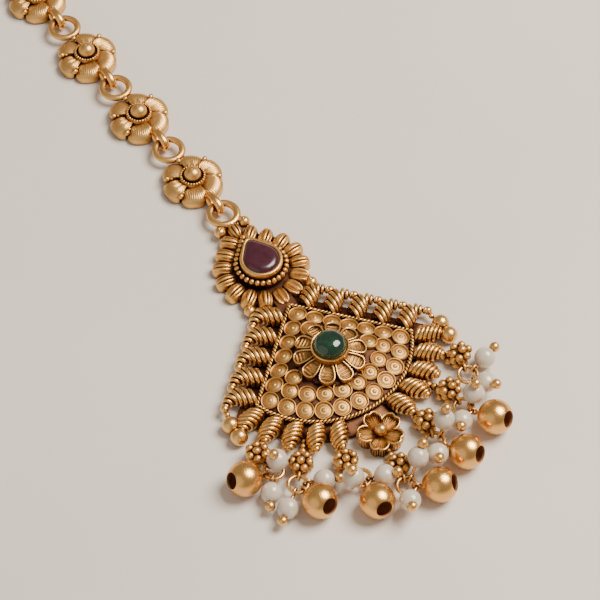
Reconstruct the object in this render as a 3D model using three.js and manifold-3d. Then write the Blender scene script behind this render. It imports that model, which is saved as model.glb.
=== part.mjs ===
// A maang tikka, a forehead jewel, laid flat on a surface with its chain stretched out.
// Millimetres. +Y runs up the chain, -Y to the fringe, +Z is up, and the flat back is at z = 0.
// The origin is on the flat back, under the green stone.
import * as THREE from 'three';
import { mergeVertices } from 'three/addons/utils/BufferGeometryUtils.js';
import Module from 'manifold-3d';

const wasm = await Module();
wasm.setup();

// Fan: a square corner at the top, closed below by an arc
const fanApexY = 12.1; // where the two sloping sides of the rope border meet
const fanArcRadius = 14.7; // of the rope border
const fanArcCentreY = 4.4;
const ropeRadius = 0.5;
const coilFromRope = 0.1; // between the rope and a coil's end
const ropeZ = 1.9;
const backPlateThickness = 0.8;
const backPlateMargin = 1.8; // outside the rope border
const domeEdgeZ = 1.6;
const domeCrownZ = 3.3;

// Discs on the fan, in rows along the border
const discRadius = 1.3;
const discPeak = 0.6;
const discRim = 0.4;
const discSunk = 0.7;
const discSides = 6;
const discRows = [
  { inset: 1.75, sideSteps: 6, arcSteps: 10 },
  { inset: 4.3, sideSteps: 5, arcSteps: 7 },
];

// Wound coils round the fan
const coilRadius = 1.6;
const sideCoilCount = 5;
const sideCoilPitch = 3.85;
const sideCoilStart = 2.7; // along the side, from the apex to the first coil
const sideCoilLength = 4.1;
const sideCoilTurn = 15; // degrees from square to the side, towards the corner
const coilSides = 6;
const arcCoilBearings = [18.3, 29.9, 41.5, 53.1, 64.7]; // degrees from -Y
const arcCoilLength = 4.0;
const cornerBallRadius = 1.35;
const cornerBalls = [
  { bearing: 70.4, beyond: 4.8 }, // degrees from -Y, and past the rope
  { bearing: 63.8, beyond: 5.7 },
];

// Flower in the middle of the fan, with the green stone
const flowerPetalCount = 10;
const flowerRadius = 5.65;
const flowerPetalLength = 3.4;
const flowerTopZ = 4.4;
const tierRadius = 5.5;
const tierNotch = 0.7;
const tierPoints = 10;
const tierTopZ = 3.7;
const emeraldRadius = 2.38;
const emeraldBaseZ = 5.5;
const emeraldHeight = 2.5;

// Crest above the fan, with the red stone
const crestY = 20.65;
const rubyRadius = 2.72; // the round end of the pear
const rubyTip = 4.5; // from the middle of the round end to the point
const rubyBaseZ = 3.3;
const rubyHeight = 1.2;
const settingGap = 0.25; // round and under each stone
const bezelWall = 0.3;
const bezelLip = 0.7; // how far a setting's wall rises beside its stone
const collarMargin = 1; // outside the pear setting
const collarTopZ = 2.7;
const crestPetalCount = 16;
const crestPetalRadius = 6.1;
const crestPetalTip = 8.6;
const crestPetalLength = 3.1;
const crestPetalHeight = 2.4;
const neckWidth = 3;
const neckLength = 5;
const crestPlateMargin = 0.6; // outside the middle line of the petals
const crestPlateThickness = 1.2;
const crestBallRadius = 0.95;
const topBall = { aside: 2.15, beyond: 0.6, z: 1.4 }; // beside the ring, past the petals' tip
const lowBall = { bearing: 42.5, beyond: 1.97, z: 0.95 }; // beside the fan, past the petals

// Small flower on the arc
const smallFlowerBeyond = 4.43; // from the rope to its middle
const smallFlowerRadius = 3.7;
const smallPetalCount = 5;
const smallPetalLength = 3.2;
const smallFlowerTopZ = 2.7;
const smallFlowerBallRadius = 0.95;

// Clusters of granules soldered to the edge, each with an eye for a jump ring
const clusterRadius = 1.95;
const clusterHeight = 3.9;
const clusterGranules = 6; // round its middle
const clusterNeckRadius = 0.5;
const clusterNeckZ = 1.1;
const clusterNeckLength = 3.6; // from the cluster back into the edge
const eyeReach = 2.45;
const eyeRadius = 0.68;
const eyeWire = 0.2;
const jumpRingRadius = 1.45;
const jumpRingWire = 0.33;
const jumpRingZ = 1.6;

// Where each cluster sits past the rope, and which way its ring hangs, in degrees from -Y
const clusters = [
  { bearing: -53.3, beyond: 6.9, hang: 6 },
  { bearing: -35.9, beyond: 6.9, hang: -37 },
  { bearing: -18.6, beyond: 6.9, hang: 6 },
  { bearing: -1.4, beyond: 10.3, hang: -12 },
  { bearing: 18.6, beyond: 6.9, hang: -10 },
  { bearing: 35.9, beyond: 6.9, hang: 7 },
  { bearing: 53.3, beyond: 6.9, hang: -8 },
];

// What lies on each jump ring. A drop without a lift rests on the surface;
// lift is degrees above it, and past 90 the drop leans back over its ring.
const hollowBallRadius = 2.7;
const hollowBallWall = 0.35;
const hollowBallHole = 1.3;
const pearlRadius = 1.66;
const pinRadius = 0.22;
const endBeadRadius = 0.82;
const endBeadProud = 0.65; // from the pearl's skin to the middle of the end bead
const drops = [
  { ring: 1, kind: 'hollow_ball', bearing: -94, lift: null, stem: 0.1 },
  { ring: 1, kind: 'pearl', bearing: 100, lift: 108, stem: 0.1 },
  { ring: 1, kind: 'pearl', bearing: -35, lift: null, stem: 0.1 },
  { ring: 2, kind: 'hollow_ball', bearing: 12, lift: null, stem: 0.1 },
  { ring: 2, kind: 'pearl', bearing: -50, lift: null, stem: 0.6 },
  { ring: 2, kind: 'pearl', bearing: 70, lift: null, stem: 0.1 },
  { ring: 3, kind: 'hollow_ball', bearing: -4, lift: null, stem: 0.5 },
  { ring: 3, kind: 'pearl', bearing: -75, lift: 82, stem: 0.1 },
  { ring: 3, kind: 'pearl', bearing: 53, lift: 36, stem: 0.1 },
  { ring: 4, kind: 'hollow_ball', bearing: 54, lift: null, stem: 0.2 },
  { ring: 4, kind: 'pearl', bearing: -24, lift: 36, stem: 0.1 },
  { ring: 4, kind: 'pearl', bearing: 122, lift: 53, stem: 1.2 },
  { ring: 5, kind: 'hollow_ball', bearing: 31, lift: null, stem: 0.6 },
  { ring: 5, kind: 'pearl', bearing: -26, lift: 42, stem: 0.1 },
  { ring: 5, kind: 'pearl', bearing: 112, lift: 80, stem: 1.2 },
  { ring: 6, kind: 'hollow_ball', bearing: 31, lift: null, stem: 0.5 },
  { ring: 6, kind: 'pearl', bearing: -38, lift: 36, stem: 0.1 },
  { ring: 6, kind: 'pearl', bearing: 92, lift: 85, stem: 0.1 },
  { ring: 7, kind: 'pearl', bearing: 107, lift: 10, stem: 0.1 },
  { ring: 7, kind: 'pearl', bearing: 18, lift: 35, stem: 0.1 },
];

// Chain of flower links, each with a flat ring above and a standing bail below
const linkCount = 4;
const linkPitch = 15.7;
const chainLean = 4.4; // degrees that the chain leans to the left
const linkRadius = 5;
const linkPetalCount = 6;
const linkPetalLength = 3.5;
const linkPetalTopZ = 2.5;
const linkPetalLap = 0.16; // each petal tips down towards the next, which laps over it
const linkBallRadius = 1.15;
const linkBallZ = 2.7;
const linkRingRadius = 2.15;
const linkRingWire = 0.55;
const linkRingBite = 0.2; // how far the ring's middle line reaches into the petals
const linkRingReach = linkRadius + linkRingRadius - linkRingBite;
const crestRingRadius = 2.15;
const crestRingWire = 0.6;
const crestRingBeyond = 3.3; // from the petals' tip to the ring's middle
const crestRingReach = crestPetalTip + crestRingBeyond;
const bailHalfHeight = 1.25;
const bailWire = 0.5;
const bailInRing = 0.7; // from the middle of the ring to the bail's lower end
const bailBite = 0.5; // how far the bail's upper end reaches in past the petals' edge
const bailHalfLength = (linkPitch - linkRingReach - linkRadius - bailInRing + bailBite) / 2;
const chainRingZ = bailHalfHeight + bailWire;

// Plain hook at the free end of the chain
const hookWire = 0.6;
const hookShank = 11;
const hookBend = 2.4; // radius of its bend
const hookPoint = 5;
const hookSteps = 11;

// Facets
const granuleSides = 8;
const granuleRows = 4;
const borderSteps = 10; // along the arc of the back plate and of the rope
const bailSides = 8;
const wireSides = 5;
const ringSides = 10;
const loopSides = 7;
const pearSides = 16;
const stoneSides = 12;
const weldDistance = 1e-4;

const gold = { color: 0xc8964e, roughness: 0.38, metalness: 1 };
const ballGold = { color: 0xd9a050, roughness: 0.25, metalness: 1 };
const pearlWhite = { color: 0xf0e6d8, roughness: 0.25, metalness: 0 };
const rubyRed = { color: 0x5a1228, roughness: 0.08, metalness: 0 };
const emeraldGreen = { color: 0x0a3a20, roughness: 0.06, metalness: 0 };

const radians = THREE.MathUtils.degToRad;
const tidy = 1e-9;

// Closed solids from geometry

function signedVolume(points, triangles) {
  const [a, b, c] = [new THREE.Vector3(), new THREE.Vector3(), new THREE.Vector3()];
  let sum = 0;
  for (const [i, j, k] of triangles) {
    a.fromArray(points, 3 * i);
    b.fromArray(points, 3 * j);
    c.fromArray(points, 3 * k);
    sum += a.dot(b.cross(c)) / 6;
  }
  return sum;
}

// Welds the corners, drops faces that shrank to a line and turns the faces outwards.
function solid(geometry) {
  const bare = new THREE.BufferGeometry();
  bare.setAttribute('position', geometry.attributes.position);
  if (geometry.index) bare.setIndex(geometry.index);
  const welded = mergeVertices(bare, weldDistance);
  const index = welded.index.array;
  const points = Float32Array.from(welded.attributes.position.array);
  const triangles = [];
  for (let i = 0; i < index.length; i += 3) {
    const [a, b, c] = [index[i], index[i + 1], index[i + 2]];
    if (a !== b && b !== c && c !== a) triangles.push([a, b, c]);
  }
  if (signedVolume(points, triangles) < 0) triangles.forEach((triangle) => triangle.reverse());
  const mesh = new wasm.Mesh({
    numProp: 3,
    vertProperties: points,
    triVerts: Uint32Array.from(triangles.flat()),
  });
  return new wasm.Manifold(mesh);
}

function joined(solids) {
  return solids.reduce((whole, piece) => whole.add(piece));
}

function geometryOf(manifold) {
  const mesh = manifold.getMesh();
  const geometry = new THREE.BufferGeometry();
  geometry.setAttribute('position', new THREE.BufferAttribute(mesh.vertProperties, 3));
  geometry.setIndex(new THREE.BufferAttribute(mesh.triVerts, 1));
  geometry.computeVertexNormals();
  return geometry;
}

function placed(geometry, x, y, z) {
  geometry.translate(x, y, z);
  return solid(geometry);
}

// Basic shapes

// A turned body about Z, from rows of radius and height that start and end on the axis.
function turned(profile, sides) {
  const geometry = new THREE.LatheGeometry(profile.map(([r, z]) => new THREE.Vector2(r, z)), sides);
  return geometry.rotateX(Math.PI / 2);
}

function ball(radius) {
  return new THREE.SphereGeometry(radius, granuleSides, granuleRows).rotateX(Math.PI / 2);
}

// A ring of wire lying flat
function wireRing(radius, wire, sides) {
  return new THREE.TorusGeometry(radius, wire, wireSides, sides);
}

// A ring of wire standing up, in the vertical plane of a bearing
function standingRing(radius, wire, bearing) {
  const geometry = wireRing(radius, wire, loopSides).rotateX(Math.PI / 2);
  return geometry.rotateZ(radians(bearing) - Math.PI / 2);
}

function bar(start, end, radius) {
  const length = start.distanceTo(end);
  const geometry = new THREE.CylinderGeometry(radius, radius, length, wireSides);
  const up = new THREE.Vector3(0, 1, 0);
  const along = end.clone().sub(start).normalize();
  geometry.applyQuaternion(new THREE.Quaternion().setFromUnitVectors(up, along));
  const middle = start.clone().add(end).multiplyScalar(0.5);
  return placed(geometry, middle.x, middle.y, middle.z);
}

// A prism from a flat outline, between two heights
function prism(outline, bottom, top) {
  const geometry = new THREE.ExtrudeGeometry(new THREE.Shape(outline), {
    depth: top - bottom,
    bevelEnabled: false,
  });
  return geometry.translate(0, 0, bottom);
}

// A skin over closed rings of points, with a tip at each end
function skinned(rings, startTip, endTip) {
  const count = rings[0].length;
  const points = [startTip, ...rings.flat(), endTip];
  const last = points.length - 1;
  const at = (ring, side) => 1 + ring * count + (side % count);
  const faces = [];
  for (let side = 0; side < count; side += 1) {
    faces.push(0, at(0, side + 1), at(0, side));
    for (let ring = 0; ring + 1 < rings.length; ring += 1) {
      faces.push(at(ring, side), at(ring, side + 1), at(ring + 1, side + 1));
      faces.push(at(ring, side), at(ring + 1, side + 1), at(ring + 1, side));
    }
    faces.push(last, at(rings.length - 1, side), at(rings.length - 1, side + 1));
  }
  const geometry = new THREE.BufferGeometry().setFromPoints(points);
  geometry.setIndex(faces);
  return geometry;
}

// The unit vector of a bearing, in degrees from -Y towards +X
function heading(bearing) {
  return new THREE.Vector2(Math.sin(radians(bearing)), -Math.cos(radians(bearing)));
}

// The fan's outline, moved inwards from the rope

function fanCorner(inset) {
  const sum = fanApexY - inset * Math.SQRT2;
  const radius = fanArcRadius - inset;
  const offset = sum - fanArcCentreY;
  const x = (offset + Math.sqrt(2 * radius * radius - offset * offset)) / 2;
  return new THREE.Vector2(x, sum - x);
}

// Evenly spaced points: down the right side, along the arc and up the left side
function fanOutline(inset, sideSteps, arcSteps) {
  const apex = new THREE.Vector2(0, fanApexY - inset * Math.SQRT2);
  const corner = fanCorner(inset);
  const right = [];
  for (let i = 0; i < sideSteps; i += 1) {
    right.push(apex.clone().lerp(corner, i / sideSteps));
  }
  const radius = fanArcRadius - inset;
  const widest = Math.atan2(corner.x, fanArcCentreY - corner.y);
  const arc = [];
  for (let i = 0; i <= arcSteps; i += 1) {
    const angle = widest * (1 - (2 * i) / arcSteps);
    const x = radius * Math.sin(angle);
    arc.push(new THREE.Vector2(x, fanArcCentreY - radius * Math.cos(angle)));
  }
  const left = right.slice(1).reverse().map((point) => new THREE.Vector2(-point.x, point.y));
  return [...right, ...arc, ...left];
}

// How far out a point of the fan is: 0 in the middle and 1 on the rope
function fanShare(x, y) {
  const reach = Math.hypot(x, y);
  if (reach < tidy) return 0;
  const [across, up] = [Math.abs(x) / reach, y / reach];
  const toSide = across + up > tidy ? fanApexY / (across + up) : Infinity;
  const rise = fanArcCentreY * up;
  const toArc = rise + Math.sqrt(rise * rise + fanArcRadius ** 2 - fanArcCentreY ** 2);
  return reach / Math.min(toSide, toArc);
}

function domeZ(x, y) {
  return domeEdgeZ + (domeCrownZ - domeEdgeZ) * (1 - fanShare(x, y) ** 2);
}

// Pieces of the fan

function backPlate() {
  return solid(prism(fanOutline(-backPlateMargin, 1, borderSteps), 0, backPlateThickness));
}

function domedPlate() {
  const insets = [0, fanArcRadius * 0.35];
  const bottom = backPlateThickness / 2;
  const ringAt = (inset, height) => fanOutline(inset, 2, 8)
    .map(({ x, y }) => new THREE.Vector3(x, y, height ?? domeZ(x, y)));
  const rings = [ringAt(0, bottom), ...insets.map((inset) => ringAt(inset))];
  const tips = [bottom, domeCrownZ].map((z) => new THREE.Vector3(0, 0, z));
  return solid(skinned(rings, tips[0], tips[1]));
}

function rope() {
  const [apex, corner] = [new THREE.Vector2(0, fanApexY), fanCorner(0)];
  const at = ({ x, y }) => new THREE.Vector3(x, y, ropeZ);
  const sides = [corner, new THREE.Vector2(-corner.x, corner.y)]
    .map((end) => bar(at(apex), at(end), ropeRadius));
  const arc = fanOutline(0, 1, borderSteps).slice(1, borderSteps + 2).map(at);
  const wire = new THREE.Shape();
  wire.absarc(0, 0, ropeRadius, 0, 2 * Math.PI);
  const geometry = new THREE.ExtrudeGeometry(new THREE.Shape(wire.getPoints(wireSides)), {
    steps: borderSteps,
    extrudePath: new THREE.CatmullRomCurve3(arc),
    bevelEnabled: false,
  });
  return joined([...sides, solid(geometry)]);
}

function disc(x, y) {
  const profile = [[0, discPeak], [discRadius, discRim], [discRadius, -discSunk], [0, -discSunk]];
  return placed(turned(profile, discSides), x, y, domeZ(x, y));
}

function discField() {
  const clearOfFlower = flowerRadius - discRadius * 0.4;
  return discRows
    .flatMap(({ inset, sideSteps, arcSteps }) => fanOutline(inset, sideSteps, arcSteps))
    .filter((point) => point.length() > clearOfFlower)
    .map(({ x, y }) => disc(x, y));
}

// Shares of the coil's length along it and sideways, and of its radius
const sideCoilSections = [
  { along: -0.5, aside: 0, thick: 0.75 },
  { along: -0.12, aside: 0, thick: 1 },
  { along: 0.26, aside: 0.08, thick: 0.76 },
  { along: 0.5, aside: 0.36, thick: 0.4 },
  { along: 0.48, aside: 0.68, thick: 0.32 },
];

const arcCoilSections = [
  { along: -0.5, thick: 0.75 },
  { along: -0.15, thick: 1 },
  { along: 0.2, thick: 0.92 },
  { along: 0.5, thick: 0.5 },
];

// A tapering coil that curls over at its outer end and meets the next, built along +X
function curledCoil() {
  const middles = sideCoilSections
    .map(({ along, aside }) => new THREE.Vector3(along, -aside, 0).multiplyScalar(sideCoilLength));
  const rings = sideCoilSections.map(({ thick }, i) => {
    const [before, after] = [middles[Math.max(i - 1, 0)], middles[Math.min(i + 1, middles.length - 1)]];
    const across = after.clone().sub(before).normalize().cross(new THREE.Vector3(0, 0, 1));
    const ring = [];
    for (let side = 0; side < coilSides; side += 1) {
      const angle = (2 * Math.PI * side) / coilSides;
      const point = across.clone().multiplyScalar(Math.cos(angle)).setZ(Math.sin(angle));
      ring.push(point.multiplyScalar(thick * coilRadius).add(middles[i]));
    }
    return ring;
  });
  return skinned(rings, middles[0], middles.at(-1));
}

// The coils of one side; hand is 1 on the right and -1 on the left
function sideCoils(hand) {
  const pieces = [];
  const outwards = radians(45 - sideCoilTurn);
  const inner = ropeRadius + coilFromRope + sideCoilLength / 2;
  for (let i = 0; i < sideCoilCount; i += 1) {
    const along = (sideCoilStart + i * sideCoilPitch) / Math.SQRT2;
    const foot = new THREE.Vector2(along, fanApexY - along);
    const middle = foot.add(new THREE.Vector2(inner / Math.SQRT2, inner / Math.SQRT2));
    const coil = curledCoil().rotateZ(outwards).translate(middle.x, middle.y, coilRadius);
    pieces.push(solid(coil.scale(hand, 1, 1)));
  }
  return pieces;
}

function arcCoil(bearing) {
  const profile = arcCoilSections.map(({ along, thick }) => [thick * coilRadius, along * arcCoilLength]);
  const ends = [profile[0][1], profile.at(-1)[1]].map((z) => [0, z]);
  const geometry = turned([ends[0], ...profile, ends[1]], coilSides).rotateX(Math.PI / 2);
  const reach = fanArcRadius + ropeRadius + coilFromRope + arcCoilLength / 2;
  const { x, y } = heading(bearing).multiplyScalar(reach);
  return placed(geometry.rotateZ(radians(bearing)), x, fanArcCentreY + y, coilRadius);
}

function cornerBall({ bearing, beyond }, hand) {
  const { x, y } = heading(bearing * hand).multiplyScalar(fanArcRadius + beyond);
  return placed(ball(cornerBallRadius), x, fanArcCentreY + y, cornerBallRadius);
}

// A casting with lobes round its edge, over a path that gives a point and its outward direction
// for each share of the way round. Sections give how far out from the path, how high, and how deep
// the valleys between lobes are; lap tips each lobe so that it overlaps the next.
function lobedBody(path, lobes, lobeSteps, sections, length, height, lap = 0) {
  const steps = lobes * lobeSteps;
  const rings = sections.map(({ out, rise, valley }) => {
    const ring = [];
    for (let i = 0; i < steps; i += 1) {
      const { middle, outward } = path(i / steps);
      const within = (i % lobeSteps) / lobeSteps;
      const dip = valley * Math.abs(Math.cos(Math.PI * within)) ** 3;
      const point = middle.clone().add(outward.clone().multiplyScalar((out - dip) * length));
      ring.push(new THREE.Vector3(point.x, point.y, rise * height * (1 - dip) * (1 - lap * within)));
    }
    return ring;
  });
  const tips = [rings[0], rings.at(-1)].map((ring) => new THREE.Vector3(0, 0, ring[0].z));
  return skinned(rings, tips[0], tips[1]);
}

// A round path, starting half a lobe before -Y so that a lobe points there
function roundPath(radius, lobes) {
  return (share) => {
    const outward = heading(360 * share - 180 / lobes);
    return { middle: outward.clone().multiplyScalar(radius), outward };
  };
}

// Shares of a petal's length out from its middle, and of its height
const dishSections = [
  { out: 0.46, rise: 0, valley: 0.2 },
  { out: 0.5, rise: 1, valley: 0.2 },
  { out: 0.28, rise: 0.84, valley: 0.1 },
  { out: -0.45, rise: 0.84, valley: 0 },
];

// The petals of the middle flower rise towards the stone.
const risingSections = [
  { out: 0.46, rise: 0, valley: 0.2 },
  { out: 0.5, rise: 1, valley: 0.2 },
  { out: 0.28, rise: 0.9, valley: 0.1 },
  { out: -0.45, rise: 1.15, valley: 0 },
];

function flowerPetals() {
  const path = roundPath(flowerRadius - flowerPetalLength / 2, flowerPetalCount);
  const height = flowerTopZ - domeEdgeZ;
  const geometry = lobedBody(path, flowerPetalCount, 3, risingSections, flowerPetalLength, height);
  return placed(geometry, 0, 0, domeEdgeZ);
}

function scallopedTier() {
  const outline = [];
  for (let i = 0; i < 2 * tierPoints; i += 1) {
    const radius = i % 2 ? tierRadius : tierRadius - tierNotch;
    outline.push(heading((180 * i) / tierPoints).multiplyScalar(radius));
  }
  return solid(prism(outline, domeEdgeZ, tierTopZ));
}

function emeraldSetting() {
  const inner = emeraldRadius + settingGap;
  const outer = inner + bezelWall;
  const [floor, lip] = [emeraldBaseZ - settingGap, emeraldBaseZ + bezelLip];
  const wall = [[outer, domeEdgeZ], [outer, lip], [inner, lip], [inner, floor]];
  return solid(turned([[0, domeEdgeZ], ...wall, [0, floor]], stoneSides));
}

function smallFlower() {
  const path = roundPath(smallFlowerRadius - smallPetalLength / 2, smallPetalCount);
  const petals = lobedBody(path, smallPetalCount, 4, dishSections, smallPetalLength, smallFlowerTopZ);
  const hub = placed(ball(smallFlowerBallRadius), 0, 0, smallFlowerTopZ);
  return solid(petals).add(hub).translate([0, fanArcCentreY - fanArcRadius - smallFlowerBeyond, 0]);
}

// Crest

// Shares of a petal's length out from its middle, and of its height
const crestPetalSections = [
  { out: 0.44, rise: 0, valley: 0.17 },
  { out: 0.5, rise: 0.5, valley: 0.17 },
  { out: 0.22, rise: 1, valley: 0.14 },
  { out: -0.45, rise: 0.8, valley: 0 },
];

// A pear outline with its point towards +Y
function pearOutline(radius, tip, count) {
  const touch = Math.acos(radius / tip);
  const outline = [];
  for (let i = 0; i < count; i += 1) {
    const angle = (2 * Math.PI * i) / count;
    const fromTip = Math.min(angle, 2 * Math.PI - angle);
    const reach = fromTip < touch ? radius / Math.cos(touch - fromTip) : radius;
    outline.push(new THREE.Vector2(reach * Math.sin(angle), reach * Math.cos(angle)));
  }
  return outline;
}

function pearPrism(radius, tip, bottom, top) {
  return solid(prism(pearOutline(radius, tip, pearSides), bottom, top));
}

// The ring of crest petals, as one casting round a pear path
function crestPetals() {
  const corners = pearOutline(crestPetalRadius, crestPetalTip, 4 * pearSides);
  const curve = new THREE.CatmullRomCurve3(corners.map(({ x, y }) => new THREE.Vector3(x, y, 0)), true);
  const path = (share) => {
    const place = (share - 0.5 / crestPetalCount + 1) % 1;
    const along = curve.getTangentAt(place);
    return { middle: curve.getPointAt(place), outward: new THREE.Vector3(-along.y, along.x, 0) };
  };
  return lobedBody(path, crestPetalCount, 3, crestPetalSections, crestPetalLength, crestPetalHeight);
}

function rubySetting() {
  const [inner, innerTip] = [rubyRadius + settingGap, rubyTip + settingGap];
  const [outer, outerTip] = [inner + bezelWall, innerTip + bezelWall];
  const [floor, lip] = [rubyBaseZ - settingGap, rubyBaseZ + bezelLip];
  const collar = pearPrism(outer + collarMargin, outerTip + collarMargin, 0, collarTopZ);
  const wall = pearPrism(outer, outerTip, 0, lip);
  return collar.add(wall).subtract(pearPrism(inner, innerTip, floor, lip + bezelLip));
}

// The ring that the chain starts from, on a stub out of the crest
function crestRing() {
  const ring = wireRing(crestRingRadius, crestRingWire, ringSides);
  const root = new THREE.Vector3(0, crestPetalTip, crestPlateThickness);
  const end = new THREE.Vector3(0, crestRingReach - crestRingRadius, chainRingZ);
  return placed(ring, 0, crestRingReach, chainRingZ).add(bar(root, end, crestRingWire));
}

function crest() {
  const plateRadius = crestPetalRadius + crestPlateMargin;
  const plateTip = crestPetalTip + crestPlateMargin;
  const low = heading(lowBall.bearing).multiplyScalar(crestPetalRadius + lowBall.beyond);
  const beads = [-1, 1].flatMap((hand) => [
    placed(ball(crestBallRadius), hand * topBall.aside, crestPetalTip + topBall.beyond, topBall.z),
    placed(ball(crestBallRadius), hand * low.x, low.y, lowBall.z),
  ]);
  const plate = pearPrism(plateRadius, plateTip, 0, crestPlateThickness);
  return joined([plate, solid(crestPetals()), rubySetting(), ...beads, crestRing()])
    .translate([0, crestY, 0]);
}

// A web under the joint of crest and fan
function neckWeb() {
  const [low, high] = [fanApexY - neckLength / 2, fanApexY + neckLength / 2];
  const geometry = new THREE.BoxGeometry(neckWidth, high - low, crestPlateThickness);
  return placed(geometry, 0, (low + high) / 2, crestPlateThickness / 2);
}

// Clusters and what hangs on them

function clusterCentre({ bearing, beyond }) {
  const { x, y } = heading(bearing).multiplyScalar(fanArcRadius + beyond);
  return new THREE.Vector2(x, fanArcCentreY + y);
}

function ringCentre(row) {
  return clusterCentre(row).add(heading(row.hang).multiplyScalar(eyeReach + jumpRingRadius));
}

// Shares of a cluster's radius and height
const clusterSections = [
  { out: 0.6, rise: 0, valley: 0.1 },
  { out: 1, rise: 0.45, valley: 0.22 },
  { out: 0.6, rise: 1, valley: 0.1 },
];

function cluster(row) {
  const centre = clusterCentre(row);
  const path = roundPath(0, clusterGranules);
  const body = lobedBody(path, clusterGranules, 2, clusterSections, clusterRadius, clusterHeight);
  const eye = heading(row.hang).multiplyScalar(eyeReach).add(centre);
  const inwards = heading(row.bearing).multiplyScalar(-clusterRadius - clusterNeckLength);
  const foot = new THREE.Vector3(centre.x + inwards.x, centre.y + inwards.y, clusterNeckZ);
  return joined([
    placed(body.rotateZ(radians(row.hang)), centre.x, centre.y, 0),
    placed(standingRing(eyeRadius, eyeWire, row.hang), eye.x, eye.y, jumpRingZ),
    bar(foot, new THREE.Vector3(centre.x, centre.y, clusterNeckZ), clusterNeckRadius),
  ]);
}

function jumpRing(row) {
  const { x, y } = ringCentre(row);
  return placed(wireRing(jumpRingRadius, jumpRingWire, ringSides), x, y, jumpRingZ);
}

// Rows of radius and height up a ball's skin, from one angle to another, measured from its foot
function skinRows(radius, height, from, to, rows) {
  const profile = [];
  for (let i = 0; i <= rows; i += 1) {
    const angle = from + ((to - from) * i) / rows;
    profile.push([radius * Math.sin(angle), height - radius * Math.cos(angle)]);
  }
  return profile;
}

// The stem between a drop's loop and its bead, up the axis from the loop's centre
function stemRows(stem) {
  const foot = [[0, eyeRadius], [pinRadius, eyeRadius]];
  return stem > pinRadius ? [...foot, [pinRadius, eyeRadius + stem]] : foot;
}

// A hollow ball with a round hole at its far end
function hollowBall(stem) {
  const height = eyeRadius + stem + hollowBallRadius;
  const innerRadius = hollowBallRadius - hollowBallWall;
  const [outerEnd, innerEnd] = [hollowBallRadius, innerRadius]
    .map((radius) => Math.PI - Math.asin(hollowBallHole / radius));
  const step = Math.PI / 6;
  const outer = skinRows(hollowBallRadius, height, step, outerEnd, 3);
  const inner = skinRows(innerRadius, height, innerEnd, 0, 2);
  return turned([...stemRows(stem), ...outer, ...inner], ringSides);
}

// A pearl on its pin, with the pin's end bead beyond it
function pinnedPearl(stem) {
  const height = eyeRadius + stem + pearlRadius;
  const beadHeight = height + pearlRadius + endBeadProud;
  const step = Math.PI / 5;
  const pearl = skinRows(pearlRadius, height, step, 4 * step, 3);
  const bead = skinRows(endBeadRadius, beadHeight, Math.PI / 2, Math.PI, 2);
  return turned([...stemRows(stem), ...pearl, ...bead], ringSides);
}

function drop({ ring, kind, bearing, lift, stem }) {
  const radius = kind === 'pearl' ? pearlRadius : hollowBallRadius;
  const length = eyeRadius + stem + radius;
  const raise = lift === null ? Math.asin((radius - jumpRingZ) / length) : radians(lift);
  const out = heading(bearing);
  const loop = ringCentre(clusters[ring - 1]).add(out.clone().multiplyScalar(jumpRingRadius));
  const along = new THREE.Vector3(out.x * Math.cos(raise), out.y * Math.cos(raise), Math.sin(raise));
  const bead = kind === 'pearl' ? pinnedPearl(stem) : hollowBall(stem);
  bead.applyQuaternion(new THREE.Quaternion().setFromUnitVectors(new THREE.Vector3(0, 0, 1), along));
  const loopRing = placed(standingRing(eyeRadius, eyeWire, bearing), loop.x, loop.y, jumpRingZ);
  return placed(bead, loop.x, loop.y, jumpRingZ).add(loopRing);
}

// Chain

// A standing bail whose lower end is inside a ring below the origin
function bail() {
  const geometry = new THREE.TorusGeometry(1, bailWire, wireSides, bailSides);
  const points = geometry.attributes.position;
  const stretch = new THREE.Vector2(bailHalfLength - 1, bailHalfHeight - 1);
  for (let i = 0; i < points.count; i += 1) {
    const angle = Math.atan2(points.getY(i), points.getX(i));
    points.setX(i, points.getX(i) + stretch.x * Math.cos(angle));
    points.setY(i, points.getY(i) + stretch.y * Math.sin(angle));
  }
  return geometry.rotateX(Math.PI / 2).rotateZ(Math.PI / 2);
}

function bailBelow(distance) {
  return placed(bail(), 0, -distance + bailInRing + bailHalfLength, chainRingZ);
}

// Shares of a petal's length out from its middle, and of its height
const linkPetalSections = [
  { out: 0.44, rise: 0, valley: 0.05 },
  { out: 0.5, rise: 0.5, valley: 0.05 },
  { out: 0.36, rise: 0.86, valley: 0.05 },
  { out: -0.2, rise: 1, valley: 0.04 },
];

function flowerLink() {
  const path = roundPath(linkRadius - linkPetalLength / 2, linkPetalCount);
  const petals = lobedBody(path, linkPetalCount, 4, linkPetalSections, linkPetalLength, linkPetalTopZ,
    linkPetalLap);
  // Half a petal round, so that ring and bail each meet the joint of two petals
  return joined([
    solid(petals).rotate([0, 0, 180 / linkPetalCount]),
    placed(ball(linkBallRadius), 0, 0, linkBallZ),
    placed(wireRing(linkRingRadius, linkRingWire, ringSides), 0, linkRingReach, chainRingZ),
    bailBelow(linkPitch - linkRingReach),
  ]);
}

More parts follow.
